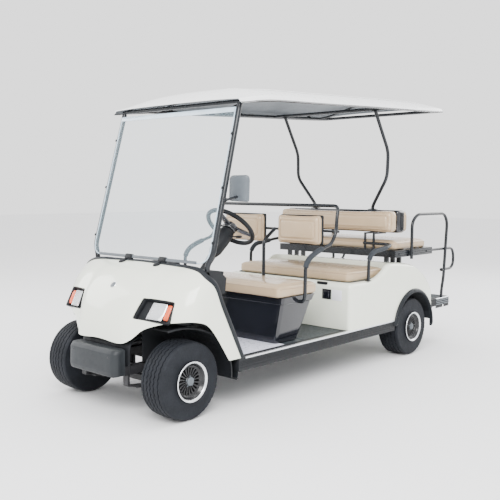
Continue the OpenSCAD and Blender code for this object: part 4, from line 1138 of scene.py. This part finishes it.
def make_floor():
    # the front mat and its ribs are coloured pale lilac: a painted reflection of the white surroundings on
    # what is a dark mat
    bm = bmesh.new()
    y0, y1 = 352, 862
    prism(bm, oblong(-535, 535, y0, y1, 18), front, 0.2, 3.2, 1)
    piece("front_mat", bm, M["mat_painted_reflection"])
    bm = bmesh.new()
    for k in range(35):
        x = -510 + 30 * k
        soft_box(bm, front(x - 4, y0 + 25, 3), front(x + 4, 800, 4.6), 0.8, 1)
    piece("front_mat_ribs", bm, M["mat_painted_reflection"])
    bm = bmesh.new()
    prism(bm, oblong(-538, 538, 1070, 1516, 14), front, 0.2, 3.2, 1)
    for k in range(43):
        x = -525 + 25 * k
        soft_box(bm, front(x - 4, 1085, 3), front(x + 4, 1502, 4.8), 0.8, 1)
    piece("middle_mat", bm, M["mat_dark"])
    sill0, sill1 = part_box("side_sills")

    def strip(bm):
        z = sill1.z
        outline = [(HW - 15 * MM, z + 0.2 * MM), (HW - 15 * MM, z + 2.2 * MM), (HW - 3 * MM, z + 2.6 * MM),
                   (HW + 1.6 * MM, z + 0.6 * MM),
                   (HW + 2 * MM, z - 9 * MM), (HW + 0.2 * MM, z - 9.5 * MM), (HW + 0.2 * MM, z + 0.2 * MM)]
        stations = (FA + 0.402, FA + 0.9, FA + 1.5, sill1.y - 0.004)
        loft(bm, [[Vector((x, y, h)) for x, h in outline] for y in stations])

    def flutes(bm):
        for dz in (-24, -34, -44, -60):
            z = sill1.z + dz * MM
            soft_box(bm, (HW, FA + 0.352, z - 2.4 * MM), (HW + 2.2 * MM, sill1.y - 0.006, z + 2.4 * MM), 1, 2)

    def cap(bm):
        soft_box(bm, (HW - 56 * MM, FA + 0.342, sill0.z + 1 * MM),
                 (HW + 1.5 * MM, FA + 0.352, sill1.z - 1 * MM), 2, 2)

    both_sides("sill_strip", strip, M["silver"])
    both_sides("sill_flutes", flutes, M["plastic"])
    both_sides("sill_cap", cap, M["plastic"])

    def flap(bm):
        loops = []
        for z, swing, half in ((FZ - 2 * MM, 0, 62), (FZ - 40 * MM, 6, 60), (FZ - 90 * MM, 16, 52),
                               (FZ - 128 * MM, 30, 34)):
            y = FA + 0.338 + swing * MM * 0.6
            x0, x1 = HW - (75 + half) * MM, HW - (75 - half) * MM
            loops.append([Vector((x0, y, z)), Vector((x1, y + 10 * MM, z - 6 * MM)),
                          Vector((x1, y + 14 * MM, z - 6 * MM)), Vector((x0, y + 4 * MM, z))])
        loft(bm, loops)
    both_sides("splash_flap", flap, M["trim"])


BODY_LINE = ((-880, -5), (-880, 330), (-865, 345), (-610, 345), (-520, 362), (-430, 400), (-370, 440),
             (-335, 455), (-150, 447), (60, 410), (200, 335), (290, 255), (332, 195), (345, 150), (345, 95))
ARCH = (30, AXLE_Z - 4 * MM)
ARCH_R = 278


def make_rear_body():
    line = [Vector((0, y, z)) for y, z in BODY_LINE]
    line[0].z = 7.4
    dense = [line[0]]
    for k in range(len(line) - 1):
        steps = max(1, int((line[k + 1] - line[k]).length / 14))
        for j in range(1, steps + 1):
            t = j / steps
            if 3 <= k <= 12:
                dense.append(along(line[3:], k - 3 + t) if k > 3 else line[k].lerp(line[k + 1], t))
            else:
                dense.append(line[k].lerp(line[k + 1], t))
    for _ in range(3):
        inside = [(a + 2 * b + c) / 4 for a, b, c in zip(dense, dense[1:], dense[2:])]
        dense = [dense[0]] + inside + [dense[-1]]
    mid = Vector((0, -300, 200))
    normals = []
    for i, p in enumerate(dense):
        d = (dense[min(i + 1, len(dense) - 1)] - dense[max(i - 1, 0)]).normalized()
        n = Vector((0, -d.z, d.y))
        normals.append(n if n.dot(p - mid) > 0 else -n)
    half = HW / MM
    r = 34
    loops = []
    angles = [0, 15, 30, 45, 60, 75, 90]
    xs = [(-half + r * (1 - math.sin(math.radians(a))), r * (1 - math.cos(math.radians(a))))
          for a in angles[::-1]]
    xs += [(-half + r + (2 * half - 2 * r) * k / 12, 0) for k in range(1, 12)]
    xs += [(half - r * (1 - math.sin(math.radians(a))), r * (1 - math.cos(math.radians(a)))) for a in angles]
    for x, sink in xs:
        loop = [rear(x, p.y - n.y * sink, max(p.z - n.z * sink, 7.4)) for p, n in zip(dense, normals)]
        loops.append(loop + [rear(x, 345 - min(sink, 20), 60), rear(x, 300, 7.4)])
    bm = bmesh.new()
    loft(bm, loops)
    bmesh.ops.remove_doubles(bm, verts=bm.verts, dist=1e-5)
    body = piece("rear_shell", bm, M["cream"], ride=False, sharp=60)

    cutters = []
    bm = bmesh.new()
    prism(bm, oblong(-564, 564, -960, -305, [0, 0, 70, 70], 10), rear, 345.2, 560, 0)
    cutters.append(piece("cutter", bm, M["cream"], ride=False))
    tub_x = middle("tyre_rear_left").x / MM - 108 - 16
    for side in (1, -1):
        bm = bmesh.new()
        ring = [(ARCH[0] + ARCH_R * math.cos(2 * math.pi * k / 72), ARCH_R * math.sin(2 * math.pi * k / 72))
                for k in range(72)]
        loft(bm, [[Vector((side * x * MM, RA + p[0] * MM, ARCH[1] + p[1] * MM)) for p in ring]
                  for x in (tub_x, 700)])
        cutters.append(piece("cutter", bm, M["cream"], ride=False))
    cut(body, *cutters)
    resharpen(body, 40)
    settle(body, "chassis", ("rear_body",))

    def tub(bm):
        ring = [math.radians(a) for a in range(-18, 199, 6)]
        ring = [a for a in ring if ARCH[1] + ARCH_R * MM * math.sin(a) > FZ - 60 * MM]
        loops = []
        for x, r in ((tub_x + 1, 120), (tub_x + 1, 200), (tub_x + 1, ARCH_R - 14), (tub_x + 8, ARCH_R - 3),
                     (tub_x + 60, ARCH_R - 2), (HW / MM - 2, ARCH_R - 1.5)):
            loops.append([Vector((x * MM, RA + (ARCH[0] + r * math.cos(a)) * MM,
                                  ARCH[1] + r * MM * math.sin(a))) for a in ring])
        loft(bm, loops, closed=False, caps=False)
    both_sides("rear_tub", tub, M["plastic"])

    def flare(bm):
        shape = ((277, -4), (277.5, 14), (279, 20), (284, 23), (292, 22), (300, 16), (306, 8), (308.5, 0.6),
                 (304, -3))
        loops = []
        for k in range(61):
            a = math.radians(-6 + 178 * k / 60)
            flat = 0.55 if k in (0, 60) else (0.85 if k in (1, 59) else 1)
            loops.append([Vector((HW + x * flat * MM, RA + (ARCH[0] + r * math.cos(a)) * MM,
                                  ARCH[1] + r * MM * math.sin(a))) for r, x in shape])
        loft(bm, loops)
        for a in (25, 60, 95, 130, 158):
            t = math.radians(a)
            spot = Vector((HW + 20 * MM, RA + (ARCH[0] + 295 * math.cos(t)) * MM,
                           ARCH[1] + 295 * MM * math.sin(t)))
            bolt(bm, spot, (1, 0, 0), 4, 3)
    flares = both_sides("rear_flare", flare, M["trim"])
    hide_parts("wheel_flares")

    def flap(bm):
        y = ARCH[0] + ARCH_R - 20
        loops = []
        for z, swing in ((62, 0), (20, 1), (-20, 5), (-40, 8)):
            loops.append([rear(424, y + swing, z), rear(HW / MM + 8, y + swing, z),
                          rear(HW / MM + 8, y + 5 + swing, z), rear(424, y + 5 + swing, z)])
        loft(bm, loops)
    both_sides("rear_flap", flap, M["trim"])

    # latch, plain label plate, seat-lid gasket and finger recess on the front face
    bm = bmesh.new()
    soft_box(bm, rear(352, -886, 218), rear(432, -878, 292), 6, 3)
    soft_box(bm, rear(368, -892, 230), rear(416, -884, 280), 5, 3)
    piece("body_latch", bm, M["gloss"])
    bm = bmesh.new()
    soft_box(bm, rear(436, -881.4, 214), rear(524, -879.6, 292), 0.7, 2)
    piece("label_plate", bm, M["label"])
    bm = bmesh.new()
    outline = oblong(-548, 548, -826, -318, 46, 8)
    tube(bm, [rear(p.x, p.y, 347) for p in outline], 3.2, 8, closed=True)
    piece("lid_gasket", bm, M["trim"])
    bm = bmesh.new()
    soft_box(bm, rear(300, -884, 322), rear(392, -866, 343), 6, 3)
    piece("lid_pull", bm, M["plastic"])


def make_rear_step():
    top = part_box("rear_step")[1].z
    bm = bmesh.new()
    prism(bm, oblong(-540, 540, 352, 690, 14), rear,
          (top - FZ) / MM + 0.2, (top - FZ) / MM + 2.4, 0.8)
    for k in range(11):
        y = 372 + 30 * k
        soft_box(bm, rear(-525, y - 5, 97), rear(525, y + 5, 99.5), 1, 1)
    piece("step_tread", bm, M["mat_dark"])
    bm = bmesh.new()
    edge = rounded([(580, 452), (580, 700), (-580, 700), (-580, 452)], [0, 25, 25, 0], 8)
    for z in (91, 76, 61, 46):
        tube(bm, [rear(p.x, p.y, z) for p in edge], 4, 8)
    piece("step_flutes", bm, M["grey"])
    bm = bmesh.new()
    loops = []
    lip = ((12, 95.2), (12, 97.2), (0, 97.6), (-2.5, 95), (-2.5, 87), (-0.2, 86.5), (-0.2, 95.2))
    for p in edge:
        if abs(p.x) > 579:
            n = Vector((math.copysign(1, p.x), 0))
        elif p.y > 699:
            n = Vector((0, 1))
        else:
            n = (p - Vector((0, 500))).normalized()
        loops.append([rear(p.x - n.x * a, p.y - n.y * a, z) for a, z in lip])
    loft(bm, loops)
    piece("step_edge", bm, M["silver"])


# ---- seats ----

def seat_base():
    bm = bmesh.new()
    base_y = (820, 1050, 850, 1190)
    loops = []
    for t, grow in ((0, -6), (0.015, 0), (0.3, 1), (0.6, 1.5), (0.84, 0), (0.86, 7), (0.985, 9), (1, 4),
                    (1, -3), (0.985, -5), (0.05, -6)):
        half = 485 + 37 * t + grow
        y0 = base_y[0] + (base_y[2] - base_y[0]) * t - grow
        y1 = base_y[1] + (base_y[3] - base_y[1]) * t + grow
        z = 0.5 + 309 * t
        loops.append([front(p.x, p.y, z) for p in oblong(-half, half, y0, y1, 26, 7)])
    loft(bm, loops)
    piece("seat_tub", bm, M["gloss"], stands_for=("front_seat_base",), sharp=28)


ARM = [(520, 1008, 270), (580, 1008, 274), (580, 1013, 514), (580, 1056, 564), (580, 1155, 605),
       (580, 1304, 643)]
ARM_TOP = [(580, 1357, 720), (580, 1366, 823), (572, 1394.8, 905)]
MIDDLE_ARM = [(584, -626, 345.3), (584, -622, 507), (584, -565, 558), (584, -425, 573), (580, -310, 590)]


def make_seat_tubes():
    arm = [front(*p) for p in ARM]
    half = arm + [front(*p) for p in ARM_TOP]
    path = eased(half + mirrored(half)[::-1], 40)
    rail_y = 1394.8
    bm = bmesh.new()
    tube(bm, path, 12.5, 20)
    tube(bm, [front(-580, rail_y - 3, 725), front(580, rail_y - 3, 725)], 9.5, 14)
    tube(bm, eased([front(0, 1154, 260), front(0, 1262, 262), front(0, 1262, 642),
                    front(0, rail_y - 3, 726)], 40), 12.5, 20)
    for x in (-1, 1):
        for a, b in ((150, 690), (390, 690), (150, 790), (390, 790)):
            soft_box(bm, front(x * a, 1380, b - 3), front(x * (a + 34), 1396, b + 3), 1.5, 2)
        for a in (150, 390):
            soft_box(bm, front(x * a, 1382.4, 660), front(x * (a + 34), 1386, 820), 1.2, 2)
            for z in (680, 770):
                bolt(bm, front(x * (a + 17), 1386, z), (0, 1, 0), 5, 4)
    piece("front_rail", bm, M["tube"], stands_for=("front_seat_frame",))

    middle_arm = [rear(*p) for p in MIDDLE_ARM]
    rest = middle_arm + [rear(540, -241 - 22, 596), rear(300, -241 - 14, 596)]
    bm = bmesh.new()
    for path in (eased(rest, 40), mirrored(eased(rest, 40))):
        tube(bm, path, 12.5, 20)
    for x in (-584, 584):
        soft_box(bm, rear(x - 15, -648, 345.4), rear(x + 15, -604, 350), 1.5, 2)
    piece("middle_rests", bm, M["tube"], stands_for=("middle_armrests",))

    bm = bmesh.new()
    for points, end in ((eased(arm, 40, 10), FA + 1.300), (eased(middle_arm, 40, 10), RA - 0.320)):
        path = [p for p in points if p.z > FZ + 498 * MM and p.y < end]
        tube(bm, path, 18.6, 22, round_ends=0.35)
        tube(bm, mirrored(path), 18.6, 22, round_ends=0.35)
    piece("foam_grips", bm, M["foam"], stands_for=("armrest_pads",))


def make_handrails():
    bar = [(600, -20, 471), (600, -20, 765), (600, 60, 825), (600, 520, 825), (600, 580, 755),
           (576, 580, 260), (560, 580, 165), (560, 580, 55)]
    loop = [(566, 359.3, 519), (566, 389, 519), (576, 717.5, 519), (576, 757.5, 469), (576, 757.5, 380),
            (576, 707.5, 340), (576, 545, 340)]
    bm = bmesh.new()
    for points, r, ease in ((bar, 12.5, 50), (loop, 11.5, 40)):
        path = eased([rear(*p) for p in points], ease)
        tube(bm, path, r, 20)
        tube(bm, mirrored(path), r, 20)
    for x in (-1, 1):
        soft_box(bm, rear(x * 581, -34, 503), rear(x * 596, -6, 533), 2, 2)
        bolt(bm, rear(x * 612, -20, 518), (x, 0, 0), 6, 4)
    piece("rear_rails", bm, M["tube"], stands_for=("handrails",))
    bm = bmesh.new()
    for x in (-1, 1):
        end = rear(x * 576, 545, 340)
        tube(bm, [end - Vector((0, 2 * MM, 0)), end - Vector((0, 10 * MM, 0))], 14, 18, round_ends=0.5)
    piece("rail_end_caps", bm, M["plastic"])


def make_rear_frame_detail():
    bm = bmesh.new()
    for x in (-1, 1):
        for dz in (8, 24, 40):
            soft_box(bm, (x * (HW - 20 * MM), RA - 0.238, FZ + (491 + dz) * MM),
                     (x * (HW - 17.4 * MM), RA + 0.357, FZ + (499 + dz) * MM), 1, 2)
        for y in (-180, 20, 260):
            bolt(bm, rear(x * 582.5, y, 518), (x, 0, 0), 6, 4)
    for dz in (8, 24, 40):
        soft_box(bm, rear(-575, 359, 491 + dz), rear(575, 361.6, 499 + dz), 1, 2)
    piece("frame_channels", bm, M["tube"])
    bm = bmesh.new()
    lo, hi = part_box("backrest_shell")
    soft_box(bm, lo, hi, 24, 5)
    piece("back_shell", bm, M["gloss"], stands_for=("backrest_shell",))
    bm = bmesh.new()
    for x in (-1, 1):
        soft_box(bm, rear(x * 559.5, -140, 700), rear(x * 562, -85, 842), 1, 2)
        for z in (720, 822):
            bolt(bm, rear(x * 562, -112, z), (x, 0, 0), 6, 4)
    piece("back_shell_plates", bm, M["plastic"])


def round_gap(u, v, half_u, half_v, r):
    """Distance from a rounded rectangle's outline, in the same unit as its half sizes."""
    a, b = abs(u) - half_u + r, abs(v) - half_v + r
    return math.hypot(max(a, 0), max(b, 0)) + min(max(a, b), 0) - r


SLACK = 7 * MM          # a pad starts this far inside the frame's solid
PANEL_R = 26 * MM       # corner radius of the sewn panel
SEAM = 7 * MM           # width of the dip along its seam


def pad_block(bm, lo, hi, axis, sign, corner):
    """The pad before it swells: rounded corners, and a crown that draws in towards the sat-on side."""
    a, b = [k for k in range(3) if k != axis]
    lo = Vector([lo[k] + SLACK * (0.3 if k == axis and sign > 0 else 1) for k in range(3)])
    hi = Vector([hi[k] - SLACK * (0.3 if k == axis and sign < 0 else 1) for k in range(3)])
    outline = oblong(lo[a], hi[a], lo[b], hi[b], corner * MM, 6)
    mid = Vector(((lo[a] + hi[a]) / 2, (lo[b] + hi[b]) / 2))
    thick = hi[axis] - lo[axis]
    loops = []
    for t, pull in ((0, 10), (0.06, 4), (0.16, 0), (0.6, 0), (0.8, 3), (0.92, 9), (0.985, 20), (1, 34)):
        loop = []
        for p in outline:
            du, dv = p.x - mid.x, p.y - mid.y
            v = Vector((0, 0, 0))
            v[axis] = lo[axis] + thick * t if sign > 0 else hi[axis] - thick * t
            v[a] = p.x - math.copysign(min(pull * MM, abs(du) * 0.9), du)
            v[b] = p.y - math.copysign(min(pull * MM, abs(dv) * 0.9), dv)
            loop.append(v)
        loops.append(loop)
    loft(bm, loops)


def swell(obj, cap):
    """Blows a pad up by a short cloth simulation; no point moves by more than cap."""
    rest = [v.co.copy() for v in obj.data.vertices]
    mod = obj.modifiers.new("swell", "CLOTH")
    mod.settings.use_pressure = True
    mod.settings.uniform_pressure_force = 4
    mod.settings.effector_weights.gravity = 0
    scene = bpy.context.scene
    for step in range(1, 21):
        scene.frame_set(step)
    apply_all(obj)
    scene.frame_set(1)
    for v, home in zip(obj.data.vertices, rest):
        move = v.co - home
        if move.length > cap:
            v.co = home + move.normalized() * cap


def walk(outline, step):
    """Points about one step apart round a closed outline."""
    dense = []
    for a, b in zip(outline, outline[1:] + outline[:1]):
        count = max(1, int((b - a).length / step))
        dense += [a.lerp(b, k / count) for k in range(count)]
    return dense


def cushion(name, lo, hi, face, body="chassis", node=None, cell=13, cap=9, inset=56, corner=34):
    """A padded block: swollen by a short cloth simulation, then given its sewn panel and welt.

    lo and hi are the corners of the frame's solid; face is the axis and sign of the side that is used.
    """
    lo, hi = Vector(lo), Vector(hi)
    axis, sign = face
    u0, v0 = [k for k in range(3) if k != axis]
    bm = bmesh.new()
    pad_block(bm, lo, hi, axis, sign, corner)
    obj = piece(name, bm, M["vinyl"], body, stands_for=(node,) if node else ())
    mod = obj.modifiers.new("even_mesh", "REMESH")
    mod.mode = "VOXEL"
    mod.voxel_size = cell * MM
    apply_all(obj)
    swell(obj, cap * MM)
    mod = obj.modifiers.new("finer", "SUBSURF")
    mod.levels = mod.render_levels = 1
    apply_all(obj)

    # the sewn panel's dip, a low crown, and the room the pad may take
    centre, half = (lo + hi) / 2, (hi - lo) / 2
    ru, rv = half[u0] - inset * MM, half[v0] - inset * MM
    facing = [v.normal[axis] * sign > 0.3 for v in obj.data.vertices]
    for v, faces_out in zip(obj.data.vertices, facing):
        off = v.co - centre
        if faces_out:
            d = abs(round_gap(off[u0], off[v0], ru, rv, PANEL_R)) / SEAM
            v.co[axis] -= sign * 6.5 * MM * math.exp(-d * d)
            crown = (1 - min(1, off[u0] / half[u0]) ** 2) * (1 - min(1, off[v0] / half[v0]) ** 2)
            v.co[axis] += sign * 9 * MM * crown
        for k in range(3):
            room = 12 * MM if k == axis else 4 * MM
            v.co[k] = min(max(v.co[k], lo[k] - room), hi[k] + room)
        if sign > 0:
            v.co[axis] = max(v.co[axis], lo[axis])
        else:
            v.co[axis] = min(v.co[axis], hi[axis])
    for polygon in obj.data.polygons:
        polygon.use_smooth = True
    obj.data.update()

    # cords: one in the panel's seam, one round the rim
    tree = BVHTree.FromObject(obj, bpy.context.evaluated_depsgraph_get())
    aim = Vector((0, 0, 0))
    aim[axis] = -sign

    def above(u, v, height):
        spot = centre.copy()
        spot[u0], spot[v0] = spot[u0] + u, spot[v0] + v
        spot[axis] = centre[axis] + sign * height
        return spot

    seam = oblong(-ru, ru, -rv, rv, PANEL_R, 6)
    hits = [tree.ray_cast(above(p.x, p.y, 0.3), aim)[0] for p in walk(seam, 14 * MM)]
    hu, hv = half[u0] - 10 * MM, half[v0] - 10 * MM
    rim = oblong(-hu, hu, -hv, hv, (corner + 6) * MM, 8)
    ring = []
    for p in walk(rim, 16 * MM):
        hit, normal = tree.find_nearest(above(p.x * 1.02, p.y * 1.02, half[axis] - 16 * MM))[:2]
        ring.append(hit + normal * 0.8 * MM)
    bm = bmesh.new()
    tube(bm, [h - aim * 0.6 * MM for h in hits if h], 2, 7, closed=True)
    tube(bm, ring, 3.1, 8, closed=True)
    piece(name + "_seams", bm, M["welt"], body)
    return obj


def node_cushion(name, node, face, body="chassis", **how):
    lo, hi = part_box(node)
    return cushion(name, lo, hi, face, body=body, node=node, **how)


KEPT = {
    "chassis_frame": "steel", "front_axle": "steel", "leaf_springs": "steel", "rear_axle": "steel",
    "knuckle_left": "bare", "knuckle_right": "bare", "tie_rod": "bare", "pedals": "bare",
    "battery_pack": "battery",
    "floor_pan": "mat_dark", "side_sills": "plastic", "dashboard": "plastic", "steering_column": "plastic",
    "rear_step": "plastic", "rear_seat_frame": "tube",
}


def dress_kept():
    for node, key in KEPT.items():
        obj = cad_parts[node]
        for entry in obj.material_slots:
            entry.link = "OBJECT"
            entry.material = M[key]


def make_cushions():
    up, back, fore = (2, 1), (1, 1), (1, -1)
    node_cushion("seat_pad_front", "front_seat_cushion", up, body="front_seat", cell=13, cap=10)
    node_cushion("seat_pad_middle", "middle_seat_cushion", up, body="middle_seat", cell=13, cap=10)
    node_cushion("seat_pad_rear", "rear_seat_cushion", up, cell=13, cap=10)
    for mark, x0, x1 in (("left", 67, 467), ("right", -467, -67)):
        pad = cushion("back_pad_" + mark, front(x0, 1312, 620), front(x1, 1382, 842), fore, cell=9, cap=8,
                      inset=44, corner=30)
        if mark == "left":
            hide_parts("front_backrests")
    bm = bmesh.new()
    for x0, x1 in ((67, 467), (-467, -67)):
        soft_box(bm, front(x0 + 6, 1362, 626), front(x1 - 6, 1383, 836), 14, 4)
    piece("back_pad_shells", bm, M["plastic"])
    lo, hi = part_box("backrest_cushions")
    shell_lo, shell_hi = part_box("backrest_shell")
    pad = cushion("rest_pad_front", lo, (hi.x, shell_lo.y, hi.z), fore, cell=12, cap=9, inset=42)
    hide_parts("backrest_cushions")
    cushion("rest_pad_rear", (lo.x, shell_hi.y, lo.z), hi, back, cell=12, cap=7, inset=42)


make_cowl()
make_headlights()
make_bumper()
make_windshield()
make_mirror()
make_roof()
make_rear_posts()
make_steering()
make_wheels()
make_floor()
make_tubs()
make_rear_body()
make_rear_step()
seat_base()
make_seat_tubes()
make_handrails()
make_rear_frame_detail()
make_cushions()
dress_kept()
